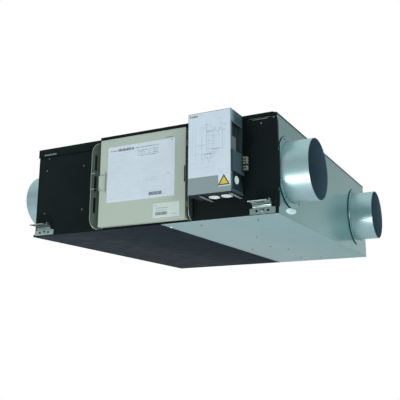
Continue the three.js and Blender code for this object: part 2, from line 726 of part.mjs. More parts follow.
// ---------------------------------------------------------------- bypass damper
function bypassDamper() {
  const [x, y] = DAMPER_AXIS;
  const thin = 1.5;
  const grow = ([a, b], by) => [a - by, b + by];
  const frameX = [WALL_RIGHT_X + SHEET + GAP, x + 16];
  const outerY = grow(BYPASS_Y, 4);
  const outerZ = grow(BYPASS_Z, 2);
  const outer = block(frameX, outerY, outerZ);
  const inner = block(grow(frameX, 1), grow(outerY, -thin), grow(outerZ, -thin));
  const spindleHoles = postZ(SPINDLE_BORE_R, x, y, grow(outerZ, 1), 16);
  place('damper_frame', cut(outer, inner, spindleHoles), galvanised);

  const flap = block([x - 1, x + 1], [y - FLAP_HALF, y + FLAP_HALF], grow(BYPASS_Z, -2));
  const spindle = postZ(SPINDLE_R, x, y, [18, 232], 12);
  place('bypass_flap', join(flap, spindle), galvanised);

  const motorZ = [outerZ[1] + 4, outerZ[1] + 48];
  const body = block([x - 15, x + 27], [y - 28, y + 28], motorZ);
  const neck = postZ(9, x, y, [outerZ[1] + 0.6, motorZ[0] + 2], 20);
  const socket = postZ(SPINDLE_BORE_R, x, y, [outerZ[1], 236], 16);
  place('damper_motor', cut(join(body, neck), socket), innerPlastic);
}

// ---------------------------------------------------------------- build
shell();
spigot('spigot_outdoor_air', DUCT_FRONT_Y, false);
spigot('spigot_exhaust_air', DUCT_REAR_Y, false);
spigot('spigot_supply_air', DUCT_FRONT_Y, true);
spigot('spigot_return_air', DUCT_REAR_Y, true);
hangingBracket('hanging_bracket_front_left', 41, false);
hangingBracket('hanging_bracket_front_right', 840, false);
hangingBracket('hanging_bracket_rear_left', 48, true);
hangingBracket('hanging_bracket_rear_right', 847, true);
latchFlange();
hingeFlange();
serviceDoor();
doorHinge('lower', HINGE_LOW_Z);
doorHinge('upper', HINGE_HIGH_Z);
latchClip();
controlBox();
bulkheads();
exchanger();
fan('supply', 742, DUCT_FRONT_Y + FAN_OFFSET_Y, 0);
fan('exhaust', 146, DUCT_REAR_Y - FAN_OFFSET_Y, Math.PI);
bypassDamper();

export default unit;
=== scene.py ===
"""A ceiling-hung heat recovery ventilator: the looks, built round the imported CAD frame.

Places are given in millimetres from the casing's front left bottom corner, as on a drawing:
X to the right along the front, Y to the back, Z up. at() turns them into the frame's metres.
"""

import math
import random

import bmesh
import bpy
from mathutils import Matrix, Vector


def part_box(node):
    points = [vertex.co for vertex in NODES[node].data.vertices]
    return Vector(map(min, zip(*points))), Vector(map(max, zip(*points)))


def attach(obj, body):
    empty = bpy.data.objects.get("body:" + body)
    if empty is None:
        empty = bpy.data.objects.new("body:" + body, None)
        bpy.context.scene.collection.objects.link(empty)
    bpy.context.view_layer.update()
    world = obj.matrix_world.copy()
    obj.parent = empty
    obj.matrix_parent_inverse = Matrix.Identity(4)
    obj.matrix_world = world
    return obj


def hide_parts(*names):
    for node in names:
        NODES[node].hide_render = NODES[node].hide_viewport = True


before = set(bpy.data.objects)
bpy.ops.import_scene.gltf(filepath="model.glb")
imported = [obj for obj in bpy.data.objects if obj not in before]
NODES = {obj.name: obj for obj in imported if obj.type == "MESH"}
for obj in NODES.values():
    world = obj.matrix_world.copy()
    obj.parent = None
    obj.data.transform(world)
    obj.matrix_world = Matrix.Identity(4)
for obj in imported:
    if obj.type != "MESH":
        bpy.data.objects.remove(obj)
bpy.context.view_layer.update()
SCENE = bpy.context.scene

MM = 0.001
CASE_LOW = Vector((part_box("left_end_panel")[0].x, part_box("front_left_panel")[0].y, 0.0))
CASE_HIGH = Vector((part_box("right_end_panel")[1].x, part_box("rear_panel")[1].y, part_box("top_panel")[1].z))
CASE_W, CASE_D, CASE_H = (CASE_HIGH - CASE_LOW) / MM


def at(x, y, z):
    """A point of the casing drawing, in the frame."""
    return CASE_LOW + Vector((x, y, z)) * MM


def drawn(node):
    """A CAD node's lowest and highest corner, in the drawing's millimetres."""
    low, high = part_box(node)
    return (low - CASE_LOW) / MM, (high - CASE_LOW) / MM


class Face:
    """A flat face to draw on: u and v run along it, and depth runs out of it."""

    def __init__(self, corner, u, v):
        self.corner = Vector(corner)
        self.u = Vector(u)
        self.v = Vector(v)
        self.out = self.u.cross(self.v)

    def point(self, u, v, depth=0.0):
        return at(*(self.corner + self.u * u + self.v * v + self.out * depth))


def front_face(y):
    return Face((0, y, 0), (1, 0, 0), (0, 0, 1))


def right_face(x):
    return Face((x, 0, 0), (0, 1, 0), (0, 0, 1))


def left_face(x):
    return Face((x, 0, 0), (0, -1, 0), (0, 0, 1))


def rear_face(y):
    return Face((0, y, 0), (-1, 0, 0), (0, 0, 1))


def under_face(z):
    return Face((0, 0, z), (0, 1, 0), (1, 0, 0))


def top_face(z):
    return Face((0, 0, z), (1, 0, 0), (0, 1, 0))


# ---------------------------------------------------------------- node materials
def new_shader(name, color, roughness, metallic=0.0, specular=0.5):
    """A material with its shader's own sockets set, its node tree and the shader."""
    material = bpy.data.materials.new(name)
    material.use_nodes = True
    tree = material.node_tree
    shader = tree.nodes["Principled BSDF"]
    shader.inputs["Base Color"].default_value = (*color, 1.0)
    shader.inputs["Roughness"].default_value = roughness
    shader.inputs["Metallic"].default_value = metallic
    shader.inputs["Specular IOR Level"].default_value = specular
    return material, tree, shader


def object_coordinates(tree, scale=(1, 1, 1)):
    coordinates = tree.nodes.new("ShaderNodeTexCoord")
    mapping = tree.nodes.new("ShaderNodeMapping")
    mapping.inputs["Scale"].default_value = scale
    tree.links.new(coordinates.outputs["Object"], mapping.inputs["Vector"])
    return mapping.outputs["Vector"]


def noise(tree, vector, scale, detail=3.0):
    texture = tree.nodes.new("ShaderNodeTexNoise")
    texture.inputs["Scale"].default_value = scale
    texture.inputs["Detail"].default_value = detail
    tree.links.new(vector, texture.inputs["Vector"])
    return texture.outputs["Fac"]


def spangle(tree, vector, scale):
    """One random grey for each crystal of a zinc coat."""
    texture = tree.nodes.new("ShaderNodeTexVoronoi")
    texture.inputs["Scale"].default_value = scale
    tree.links.new(vector, texture.inputs["Vector"])
    grey = tree.nodes.new("ShaderNodeRGBToBW")
    tree.links.new(texture.outputs["Color"], grey.inputs["Color"])
    return grey.outputs["Val"]


def spread(tree, value, low, high, from_low=0.3, from_high=0.7):
    """Stretches a texture's value to run from low to high."""
    remap = tree.nodes.new("ShaderNodeMapRange")
    remap.inputs["From Min"].default_value = from_low
    remap.inputs["From Max"].default_value = from_high
    remap.inputs["To Min"].default_value = low
    remap.inputs["To Max"].default_value = high
    tree.links.new(value, remap.inputs["Value"])
    return remap.outputs["Result"]


def blend_colors(tree, factor, dark, light):
    mix = tree.nodes.new("ShaderNodeMix")
    mix.data_type = "RGBA"
    mix.inputs["A"].default_value = (*dark, 1.0)
    mix.inputs["B"].default_value = (*light, 1.0)
    tree.links.new(factor, mix.inputs["Factor"])
    return mix.outputs["Result"]


def add_bump(tree, shader, height, strength, distance=0.0004):
    bump = tree.nodes.new("ShaderNodeBump")
    bump.inputs["Strength"].default_value = strength
    bump.inputs["Distance"].default_value = distance
    tree.links.new(height, bump.inputs["Height"])
    tree.links.new(bump.outputs["Normal"], shader.inputs["Normal"])


def shaded(color, by):
    return tuple(min(1.0, c * by) for c in color)


def painted(name, color, roughness, specular=0.5, variation=0.1, peel=0.12):
    """Powder-coated steel: a fine orange peel, and a slightly uneven tone and gloss."""
    material, tree, shader = new_shader(name, color, roughness, specular=specular)
    vector = object_coordinates(tree)
    tone = spread(tree, noise(tree, vector, 7.0, 4.0), 0.0, 1.0)
    mixed = blend_colors(tree, tone, shaded(color, 1 - variation), shaded(color, 1 + variation))
    tree.links.new(mixed, shader.inputs["Base Color"])
    gloss = spread(tree, noise(tree, vector, 18.0), roughness - 0.06, roughness + 0.08)
    tree.links.new(gloss, shader.inputs["Roughness"])
    add_bump(tree, shader, noise(tree, vector, 900.0, 2.0), peel)
    return material


def zinc_coated(name, color, roughness, crystals=75.0, contrast=0.09, streak=(1, 1, 1), metallic=0.9):
    """Hot-dip galvanised sheet: crystals of slightly different grey, and faint rolling streaks."""
    material, tree, shader = new_shader(name, color, roughness, metallic)
    vector = object_coordinates(tree)
    grain = noise(tree, object_coordinates(tree, streak), 160.0, 4.0)
    crystal = spread(tree, spangle(tree, vector, crystals), 0.0, 0.65, 0.15, 0.85)
    rolled = spread(tree, grain, 0.0, 0.35)
    total = tree.nodes.new("ShaderNodeMath")
    total.operation = "ADD"
    tree.links.new(crystal, total.inputs[0])
    tree.links.new(rolled, total.inputs[1])
    dark, light = shaded(color, 1 - contrast), shaded(color, 1 + contrast)
    mixed = blend_colors(tree, total.outputs["Value"], dark, light)
    tree.links.new(mixed, shader.inputs["Base Color"])
    smear = spread(tree, noise(tree, vector, 5.0, 4.0), roughness - 0.05, roughness + 0.07)
    tree.links.new(smear, shader.inputs["Roughness"])
    add_bump(tree, shader, grain, 0.02)
    return material


def moulded(name, color, roughness, variation=0.06):
    """Moulded plastic or rubber with a fine matt texture."""
    material, tree, shader = new_shader(name, color, roughness, specular=0.4)
    vector = object_coordinates(tree)
    tone = spread(tree, noise(tree, vector, 40.0), 0.0, 1.0)
    mixed = blend_colors(tree, tone, shaded(color, 1 - variation), shaded(color, 1 + variation))
    tree.links.new(mixed, shader.inputs["Base Color"])
    add_bump(tree, shader, noise(tree, vector, 1400.0, 2.0), 0.15)
    return material


def fibrous(name, color, roughness=0.95, size=420.0, strength=0.6):
    """Foam or filter fleece: a pale mat of fibres and pores."""
    material, tree, shader = new_shader(name, color, roughness, specular=0.2)
    vector = object_coordinates(tree)
    pores = noise(tree, vector, size, 6.0)
    mixed = blend_colors(tree, spread(tree, pores, 0.0, 1.0), shaded(color, 0.8), shaded(color, 1.08))
    tree.links.new(mixed, shader.inputs["Base Color"])
    add_bump(tree, shader, pores, strength, 0.002)
    return material


def layered_paper(name, color):
    """Stacked exchanger sheets: thin dark gaps every couple of millimetres along Y."""
    material, tree, shader = new_shader(name, color, 0.85, specular=0.2)
    wave = tree.nodes.new("ShaderNodeTexWave")
    wave.bands_direction = "Y"
    wave.inputs["Scale"].default_value = 130.0
    wave.inputs["Distortion"].default_value = 0.4
    tree.links.new(object_coordinates(tree), wave.inputs["Vector"])
    mixed = blend_colors(tree, wave.outputs["Fac"], shaded(color, 0.45), color)
    tree.links.new(mixed, shader.inputs["Base Color"])
    add_bump(tree, shader, wave.outputs["Fac"], 0.5, 0.001)
    return material


def coated_paper(name, color, variation=0.03):
    """Printed label stock, smooth and slightly uneven in tone."""
    material, tree, shader = new_shader(name, color, 0.5, specular=0.35)
    vector = object_coordinates(tree)
    tone = spread(tree, noise(tree, vector, 14.0, 5.0), 0.0, 1.0)
    mixed = blend_colors(tree, tone, shaded(color, 1 - variation), shaded(color, 1 + variation))
    tree.links.new(mixed, shader.inputs["Base Color"])
    add_bump(tree, shader, noise(tree, vector, 60.0), 0.08, 0.001)
    return material


BLACK = painted("black_paint", (0.0035, 0.0068, 0.0070), 0.55, specular=0.08, variation=0.2)
SLATE = painted("slate_paint", (0.0115, 0.0185, 0.0265), 0.6, specular=0.03, variation=0.02)
GALVANISED = zinc_coated("galvanised_sheet", (0.265, 0.43, 0.43), 0.2, contrast=0.02)
UNDERSIDE_ZINC = zinc_coated("galvanised_underside", (0.32, 0.46, 0.48), 0.45, contrast=0.025)
DUCT = zinc_coated("duct_steel", (0.36, 0.51, 0.53), 0.34, contrast=0.03, streak=(0.05, 1, 1))
# Near-black ring behind the spigot flanges: a painted shadow gap.
NECK_SHADE = painted("neck_painted_shadow", (0.022, 0.035, 0.038), 0.6, specular=0.1)
# The duct steel made darker and bluer inside the tubes: painted shade.
DUCT_INSIDE = zinc_coated("duct_inside_shade_tint", (0.24, 0.38, 0.47), 0.3, contrast=0.03, metallic=0.85)
COVER = painted("cover_paint", (0.295, 0.345, 0.296), 0.45, specular=0.35, variation=0.03, peel=0.08)
# The cover's olive paint, much darker: painted shade on the slotted flanges, hinges and the clip's outline.
SHADED_COVER_PAINT = painted("cover_paint_shade_darkened", (0.045, 0.065, 0.048), 0.45, specular=0.3, variation=0.08, peel=0.08)
ZINC = zinc_coated("zinc_plate", (0.26, 0.35, 0.35), 0.35, crystals=160.0, contrast=0.06)
# A lighter copy of zinc_plate: painted light on the front left bracket's wall plate.
ZINC_LIT = zinc_coated("zinc_painted_light", (0.40, 0.52, 0.51), 0.35, crystals=160.0, contrast=0.06)
DARK_ZINC = zinc_coated("dark_zinc", (0.10, 0.14, 0.145), 0.45, crystals=160.0, contrast=0.1)
SCREW = zinc_coated("screw_zinc", (0.21, 0.22, 0.20), 0.4, crystals=160.0)
# Bright lines on rolled edges, bends, seams, slot rims and wire ends: painted highlights.
EDGE_HIGHLIGHT = zinc_coated("edge_painted_highlight", (0.36, 0.43, 0.38), 0.35, crystals=200.0, contrast=0.05)
BOX_STEEL = painted("box_paint", (0.018, 0.032, 0.038), 0.45, specular=0.12, variation=0.1)
LID_LIP = painted("lid_lip_paint", (0.09, 0.14, 0.17), 0.45, specular=0.2, variation=0.05)
# A lighter copy of the lid's side paint: painted highlight on the front of its top fold.
LID_HIGHLIGHT = painted("lid_edge_highlight_paint", (0.19, 0.29, 0.35), 0.45, specular=0.2, variation=0.05)
# A darker copy of the lid's side paint: painted shade on the back of its top fold.
LID_SHADE = painted("lid_side_shade_paint", (0.036, 0.068, 0.08), 0.45, specular=0.2, variation=0.05)
# A grey-green stand-in for the black paint: painted highlight on pressed ribs and ledges.
LEDGE_HIGHLIGHT = painted("ledge_highlight_paint", (0.14, 0.18, 0.18), 0.4, specular=0.3)
RAISED_STEEL = painted("raised_box_paint", (0.05, 0.085, 0.105), 0.45, specular=0.15, variation=0.1)
BOX_FLOOR = painted("box_floor_paint", (0.022, 0.034, 0.043), 0.5, specular=0.1, variation=0.1)
BOX_LID = painted("lid_paint", (0.171, 0.217, 0.220), 0.45, specular=0.3, variation=0.04)
STRIP_STEEL = painted("strip_paint", (0.17, 0.17, 0.20), 0.5, specular=0.2, variation=0.1)
FOAM = fibrous("foam", (0.62, 0.60, 0.54))
FLEECE = fibrous("filter_fleece", (0.72, 0.75, 0.74), size=260.0)
RUBBER = moulded("seal_rubber", (0.012, 0.013, 0.013), 0.8)
WHITE_RUBBER = moulded("white_rubber", (0.62, 0.68, 0.67), 0.5)
WHITE_PLASTIC = moulded("white_plastic", (0.74, 0.88, 0.90), 0.45)
CREAM_PLASTIC = moulded("cream_plastic", (0.20, 0.215, 0.165), 0.5)
DARK_PLASTIC = moulded("dark_plastic", (0.03, 0.034, 0.036), 0.55)
GREY_PLASTIC = moulded("grey_plastic", (0.14, 0.148, 0.17), 0.5)
MOTOR_PAINT = painted("motor_paint", (0.03, 0.034, 0.038), 0.4)
BOARD = painted("board_lacquer", (0.015, 0.10, 0.05), 0.3, variation=0.15)
CORE_PAPER = layered_paper("core_paper", (0.62, 0.56, 0.44))
LABEL = coated_paper("label_paper", (0.428, 0.478, 0.530))
PLATE_LABEL = coated_paper("plate_label_paper", (0.40, 0.455, 0.435))
BOX_LABEL = coated_paper("box_label_paper", (0.425, 0.482, 0.540))
INK = coated_paper("label_ink", (0.09, 0.11, 0.14), 0.2)
BOX_INK = coated_paper("box_ink", (0.29, 0.35, 0.40), 0.25)
BOX_FAINT_INK = coated_paper("box_faint_ink", (0.34, 0.40, 0.45), 0.15)
MEDIUM_INK = coated_paper("medium_ink", (0.15, 0.19, 0.22), 0.2)
FAINT_INK = coated_paper("faint_ink", (0.33, 0.41, 0.47), 0.1)
YELLOW = coated_paper("yellow_vinyl", (0.47, 0.33, 0.03), 0.05)
SIGN_INK = coated_paper("sign_ink", (0.035, 0.04, 0.03), 0.05)


# ---------------------------------------------------------------- mesh helpers
def make_piece(name, shape, material, body="casing", replaces=(), smooth=0.0):
    """Turns a bmesh into an object that rides on a body. smooth is the sharpest angle shaded round."""
    bmesh.ops.recalc_face_normals(shape, faces=shape.faces)
    for part in shape.faces:
        part.smooth = smooth > 0
    for edge in shape.edges:
        sharp = len(edge.link_faces) == 2 and edge.calc_face_angle(0.0) > math.radians(smooth)
        edge.smooth = not sharp
    mesh = bpy.data.meshes.new(name)
    shape.to_mesh(mesh)
    shape.free()
    piece = bpy.data.objects.new(name, mesh)
    SCENE.collection.objects.link(piece)
    mesh.materials.append(material)
    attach(piece, body)
    if replaces:
        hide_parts(*replaces)
    return piece


def add_block(shape, low, high, bevel=0.0, segments=2):
    """A box between two corners of the drawing, with its edges rounded by bevel millimetres."""
    low_point, high_point = at(*low), at(*high)
    size = high_point - low_point
    middle = (low_point + high_point) / 2
    place = Matrix.Translation(middle) @ Matrix.Diagonal((*size, 1.0))
    made = bmesh.ops.create_cube(shape, size=1.0, matrix=place)
    if bevel:
        edges = {edge for corner in made["verts"] for edge in corner.link_edges}
        bmesh.ops.bevel(
            shape,
            geom=list(edges),
            offset=bevel * MM,
            segments=segments,
            profile=0.5,
            affect="EDGES",
        )


def add_turned(shape, profile, centre, axis, sides=48):
    """Turns a closed profile of (radius, height) points round an axis; radius 0 makes a pole."""
    axis = Vector(axis).normalized()
    side = axis.orthogonal().normalized()
    other = axis.cross(side)
    base = at(*centre)
    rings = []
    for radius, height in profile:
        middle = base + axis * height * MM
        if radius < 1e-6:
            rings.append([shape.verts.new(middle)] * sides)
            continue
        ring = []
        for i in range(sides):
            angle = 2 * math.pi * i / sides
            spoke = side * math.cos(angle) + other * math.sin(angle)
            ring.append(shape.verts.new(middle + spoke * radius * MM))
        rings.append(ring)
    for k, ring in enumerate(rings):
        after = rings[(k + 1) % len(rings)]
        for i in range(sides):
            j = (i + 1) % sides
            corners = list(dict.fromkeys((ring[i], ring[j], after[j], after[i])))
            if len(corners) > 2:
                shape.faces.new(corners)


def add_plate(shape, face, outline, depth, holes=()):
    """A flat plate with holes, drawn on a face as (u, v) points, from depth[0] to depth[1]."""
    edges = []
    for loop in (outline, *holes):
        corners = [shape.verts.new(face.point(u, v, depth[0])) for u, v in loop]
        for i, corner in enumerate(corners):
            edges.append(shape.edges.new((corner, corners[(i + 1) % len(corners)])))
    filled = bmesh.ops.triangle_fill(shape, use_beauty=True, use_dissolve=False, edges=edges)
    floor = [part for part in filled["geom"] if isinstance(part, bmesh.types.BMFace)]
    grown = bmesh.ops.extrude_face_region(shape, geom=floor, use_keep_orig=True)
    raised = [part for part in grown["geom"] if isinstance(part, bmesh.types.BMVert)]
    bmesh.ops.translate(shape, verts=raised, vec=face.point(0, 0, depth[1]) - face.point(0, 0, depth[0]))


def add_tube(shape, points, radius, sides=10):
    """A round wire through points of the drawing, closed at both ends."""
    path = [at(*point) for point in points]
    rings = []
    across = None
    for i, point in enumerate(path):
        along = (path[min(i + 1, len(path) - 1)] - path[max(i - 1, 0)]).normalized()
        across = along.orthogonal() if across is None else across - along * across.dot(along)
        across.normalize()
        other = along.cross(across)
        rings.append([
            shape.verts.new(point + (across * math.cos(a) + other * math.sin(a)) * radius * MM)
            for a in (2 * math.pi * k / sides for k in range(sides))
        ])
    for one, two in zip(rings, rings[1:]):
        for k in range(sides):
            shape.faces.new((one[k], one[(k + 1) % sides], two[(k + 1) % sides], two[k]))
    shape.faces.new(rings[0])
    shape.faces.new(rings[-1])


def rectangle(u0, u1, v0, v1):
    return [(u0, v0), (u1, v0), (u1, v1), (u0, v1)]


def rounded(u0, u1, v0, v1, radius, steps=6):
    """A rectangle's outline with round corners."""
    points = []
    corners = ((u1 - radius, v1 - radius, 0), (u0 + radius, v1 - radius, 1),
               (u0 + radius, v0 + radius, 2), (u1 - radius, v0 + radius, 3))
    for u, v, quarter in corners:
        for i in range(steps + 1):
            angle = math.pi / 2 * (quarter + i / steps)
            points.append((u + radius * math.cos(angle), v + radius * math.sin(angle)))
    return points


def circle(u, v, radius, steps=32):
    return [
        (u + radius * math.cos(2 * math.pi * i / steps), v + radius * math.sin(2 * math.pi * i / steps))
        for i in range(steps)
    ]


def oval(u, v, half_u, half_v, slope):
    """An oval whose long axis rises by slope along u."""
    unit = circle(0.0, 0.0, 1.0, 48)
    return [(u + a * half_u, v + b * half_v + a * half_u * slope) for a, b in unit]


def cross(u, v, arm, half, turn):
    """The outline of a cross-head recess."""
    corner = [(arm, -half), (arm, half), (half, half)]
    points = []
    for quarter in range(4):
        angle = turn + quarter * math.pi / 2
        cosine, sine = math.cos(angle), math.sin(angle)
        for a, b in corner:
            points.append((u + a * cosine - b * sine, v + a * sine + b * cosine))
    return points


def add_screw(shape, face, u, v, radius, turn=0.3):
    """A pan-head screw with a cross recess, standing on a face."""
    height = radius * 0.62
    rim = radius * 0.8
    bowl = [(radius, 0.0), (radius, height * 0.45), (radius * 0.95, height * 0.75), (rim, height)]
    rings = []
    for r, depth in bowl:
        rings.append([shape.verts.new(face.point(a, b, depth)) for a, b in circle(u, v, r, 20)])
    for one, two in zip(rings, rings[1:]):
        for i in range(len(one)):
            j = (i + 1) % len(one)
            shape.faces.new((one[i], one[j], two[j], two[i]))
    shape.faces.new(rings[0])
    recess = cross(u, v, radius * 0.52, radius * 0.13, turn)
    upper = [shape.verts.new(face.point(a, b, height)) for a, b in recess]
    lower = [shape.verts.new(face.point(a, b, height * 0.35)) for a, b in recess]
    edges = [shape.edges.get((rings[-1][i], rings[-1][(i + 1) % 20])) for i in range(20)]
    edges += [shape.edges.new((upper[i], upper[(i + 1) % 12])) for i in range(12)]
    bmesh.ops.triangle_fill(shape, use_beauty=True, use_dissolve=False, edges=edges)
    for i in range(12):
        j = (i + 1) % 12
        shape.faces.new((upper[i], upper[j], lower[j], lower[i]))
    shape.faces.new(lower)


def make_screws(name, face, places, radius, material=None, body="casing"):
    shape = bmesh.new()
    for i, (u, v) in enumerate(places):
        add_screw(shape, face, u, v, radius, turn=0.3 + 1.1 * i)
    return make_piece(name, shape, material or ZINC, body, smooth=35)


# ---------------------------------------------------------------- finishes of the CAD nodes
def dress(names, material, bevel=0.0, smooth=30.0):
    """Gives CAD nodes a finish, rounds their folded edges and shades their curves round."""
    for name in names:
        node = NODES[name]
        if not node.material_slots:
            node.data.materials.append(material)
        for slot in node.material_slots:
            slot.material = material
        for part in node.data.polygons:
            part.use_smooth = True
        weld = node.modifiers.new("weld", "WELD")
        weld.merge_threshold = 1e-5
        if bevel:
            fold = node.modifiers.new("fold", "BEVEL")
            fold.width = bevel * MM
            fold.segments = 2
            fold.limit_method = "ANGLE"
            fold.angle_limit = math.radians(smooth)
            fold.harden_normals = True
        else:
            split = node.modifiers.new("split", "EDGE_SPLIT")
            split.split_angle = math.radians(smooth)


def dress_nodes():
    dress(["front_left_panel", "front_right_panel", "front_top_rail"], BLACK, bevel=0.5)
    dress(["underside_panel_left"], SLATE, bevel=0.4)
    dress(["underside_panel_right"], UNDERSIDE_ZINC, bevel=0.4)
    dress(["service_opening_frame"], BLACK)
    dress(["right_end_panel", "left_end_panel", "rear_panel", "top_panel"], GALVANISED)
    for side in ("outdoor_side", "room_side"):
        dress([f"bulkhead_{side}", f"divider_{side}"], GALVANISED)
    dress(["core_chamber_end_wall", "damper_frame", "bypass_flap"], GALVANISED)
    dress([f"core_rail_{side}" for side in ("bottom", "top", "left", "right")], GALVANISED)
    dress(["supply_fan_scroll", "exhaust_fan_scroll"], GALVANISED)
    dress(["supply_fan_wheel", "exhaust_fan_wheel"], DARK_PLASTIC)
    dress(["supply_fan_motor", "exhaust_fan_motor", "damper_motor", "transformer"], MOTOR_PAINT, bevel=0.8)
    dress(["door_panel"], COVER, bevel=1.1)
    dress(["door_insulation"], FOAM, bevel=2.0)
    dress(["door_gasket"], RUBBER)
    for corner in ("front_left", "front_right", "rear_left", "rear_right"):
        dress([f"hanging_bracket_{corner}"], ZINC, bevel=0.45)
    # The hinges take the darkened cover paint: painted shade.
    for level in ("lower", "upper"):
        dress([f"door_hinge_{level}", f"hinge_bracket_{level}"], SHADED_COVER_PAINT, bevel=0.3)
    dress(["clip_bracket"], COVER, bevel=0.25)
    dress(["control_box_body"], BOX_STEEL, bevel=0.6)
    dress(["control_box_cover"], BOX_LID, bevel=0.4)
    dress(["circuit_board"], BOARD, bevel=0.4)
    dress(["terminal_block"], DARK_PLASTIC, bevel=0.5)
    dress(["exchanger_core_front", "exchanger_core_rear"], CORE_PAPER)
    for place in ("outdoor_filter_front", "outdoor_filter_rear", "room_filter_front", "room_filter_rear"):
        dress([place], FLEECE, bevel=1.5)


# ---------------------------------------------------------------- duct spigots
def trim_front(shape, y):
    """Cuts away whatever stands in front of y, and closes the cut."""
    cut = bmesh.ops.bisect_plane(
        shape,
        geom=shape.verts[:] + shape.edges[:] + shape.faces[:],
        plane_co=at(0, y, 0),
        plane_no=(0, -1, 0),
        clear_outer=True,
    )
    rim = [part for part in cut["geom_cut"] if isinstance(part, bmesh.types.BMEdge)]
    bmesh.ops.holes_fill(shape, edges=rim)


def duct_spigot(name, on_right):
    """A smooth tube with a cut edge and a flange ring, drawn in by a groove at its base painted near-black as
    a painted shadow.
    """
    low, high = drawn(name)
    start = CASE_W if on_right else 0.0
    sign = 1 if on_right else -1
    length = (high.x - start) if on_right else (start - low.x)
    outer = 94.0
    wall = 1.2
    flange_radius = (high.z - low.z) / 2
    middle = (low.z + high.z) / 2
    centre = (start, high.y - flange_radius, middle)
    profile = [
        (outer - 0.6, 0.4),
        (outer, 0.4),
        (outer, length - 14.0),
        (outer, length - 0.3),
        (outer - 0.3, length),
        (outer - 0.6, length),
        (outer - 0.6, length - 14.0),
    ]
    ring = [
        (outer + 0.8, 2.8),
        (flange_radius - 0.4, 2.8),
        (flange_radius, 3.4),
        (flange_radius - 0.5, 4.2),
        (outer + 4.0, 4.2),
        (outer + 1.6, 4.8),
        (outer + 0.8, 4.6),
    ]
    neck_radius = flange_radius - 1.8
    neck = [(outer + 0.1, 0.4), (neck_radius, 0.4), (neck_radius, 2.7), (outer + 0.1, 2.7)]
    lining = [
        (outer - wall, 0.4),
        (outer - 0.7, 0.4),
        (outer - 0.7, length - 0.5),
        (outer - wall, length - 0.5),
    ]
    # The inner wall takes the darker, bluer duct steel: painted shade inside the tube.
    inside = bmesh.new()
    add_turned(inside, lining, centre, (sign, 0, 0), sides=128)
    make_piece(f"{name}_lining", inside, DUCT_INSIDE, smooth=40)
    trimmed = low.y > centre[1] - flange_radius + 1
    parts = (("tube", profile, DUCT), ("ring", ring, GALVANISED), ("neck", neck, NECK_SHADE))
    for part, outline, material in parts:
        shape = bmesh.new()
        add_turned(shape, outline, centre, (sign, 0, 0), sides=128)
        if trimmed:
            trim_front(shape, low.y)
        replaced = (name,) if part == "tube" else ()
        make_piece(f"{name}_{part}", shape, material, replaces=replaced, smooth=40)
    add_flange_screws(name, centre, flange_radius, sign)


def add_flange_screws(name, centre, flange_radius, sign):
    x, y, z = centre
    face = right_face(x + 4.2) if sign > 0 else left_face(x - 4.2)
    radius = flange_radius - 8.5
    angles = [math.radians(a) for a in (58, 122, 238, 302)]
    places = [(sign * y + radius * math.cos(a), z + radius * math.sin(a)) for a in angles]
    make_screws(f"{name}_screws", face, places, 2.4, DARK_ZINC)


# ---------------------------------------------------------------- flanges beside the service door
def flange_outline(width, height, corner_height):
    """A flange with soft outer corners: u runs outwards, v runs up."""
    points = []
    for start, end in ((0.0, corner_height), (height, height - corner_height)):
        arc = []
        for i in range(15):
            t = i / 14
            u = 2 * t * (1 - t) * width + t * t * width
            v = (1 - t) ** 2 * start + 2 * t * (1 - t) * start + t * t * end
            arc.append((u, v))
        points += arc if start == 0.0 else arc[::-1]
    return points


FLANGE_CORNER = 42.0


def service_flange(name, corner, outward, width):
    """A sheet flange beside the door with three slots and a rolled edge drawn bright as a painted highlight.
    """
    low, high = drawn(name)
    height = high.z - low.z
    face = Face((*corner, low.z), outward, (0, 0, 1))
    slots_z = ((57, 109), (129, 181), (200, 253))
    middle = width * 0.55
    slots = [rounded(middle - 4, middle + 4, a - low.z, b - low.z, 3.2) for a, b in slots_z]
    outline = flange_outline(width, height, FLANGE_CORNER)
    shape = bmesh.new()
    add_plate(shape, face, outline, (0.0, 1.2), slots)
    # The flange sheet and its foot take the darkened cover paint: painted shade.
    make_piece(f"{name}_sheet", shape, SHADED_COVER_PAINT, replaces=(name,))
    hem = bmesh.new()
    path = [face.corner + face.u * (u - 0.5) + face.v * v + face.out * 0.6 for u, v in outline]
    add_tube(hem, [tuple(point) for point in path[1:-1]], 1.15, sides=8)
    # The rolled edge is drawn bright: a painted highlight.
    make_piece(f"{name}_hem", hem, EDGE_HIGHLIGHT, smooth=50)
    foot = bmesh.new()
    foot_x = (corner[0] - 1, 282) if name == "latch_flange" else (597, corner[0] + 1)
    add_block(foot, (foot_x[0], -1.6, low.z), (foot_x[1], -0.4, high.z), 0.3)
    make_piece(f"{name}_foot", foot, SHADED_COVER_PAINT)


# ---------------------------------------------------------------- printed sheets
def word_row(draw, u0, u1, v, height, widths=(4.0, 15.0), kept=1.0):
    """A row of generic print: bars of uneven length with gaps, standing for words."""
    bars = []
    u = u0
    while u < u1 - 1.5:
        width = min(draw.uniform(*widths), u1 - u)
        if draw.random() < kept:
            bars.append((u, u + width, v, v + height * draw.uniform(0.8, 1.0)))
        u += width + draw.uniform(0.8, 2.6)
    return bars


def stripe_code(draw, u0, u1, v0, v1):
    """A block of upright stripes of uneven width."""
    bars = []
    u = u0
    while u < u1 - 0.8:
        width = draw.choice((0.8, 1.3, 1.9))
        bars.append((u, u + width, v0, v1))
        u += width + draw.choice((0.3, 0.4, 0.6))
    return bars


def box_frame(u0, u1, v0, v1, line):
    """The four sides of a drawn rectangle."""
    return [
        (u0, u1, v0, v0 + line),
        (u0, u1, v1 - line, v1),
        (u0, u0 + line, v0 + line, v1 - line),
        (u1 - line, u1, v0 + line, v1 - line),
    ]


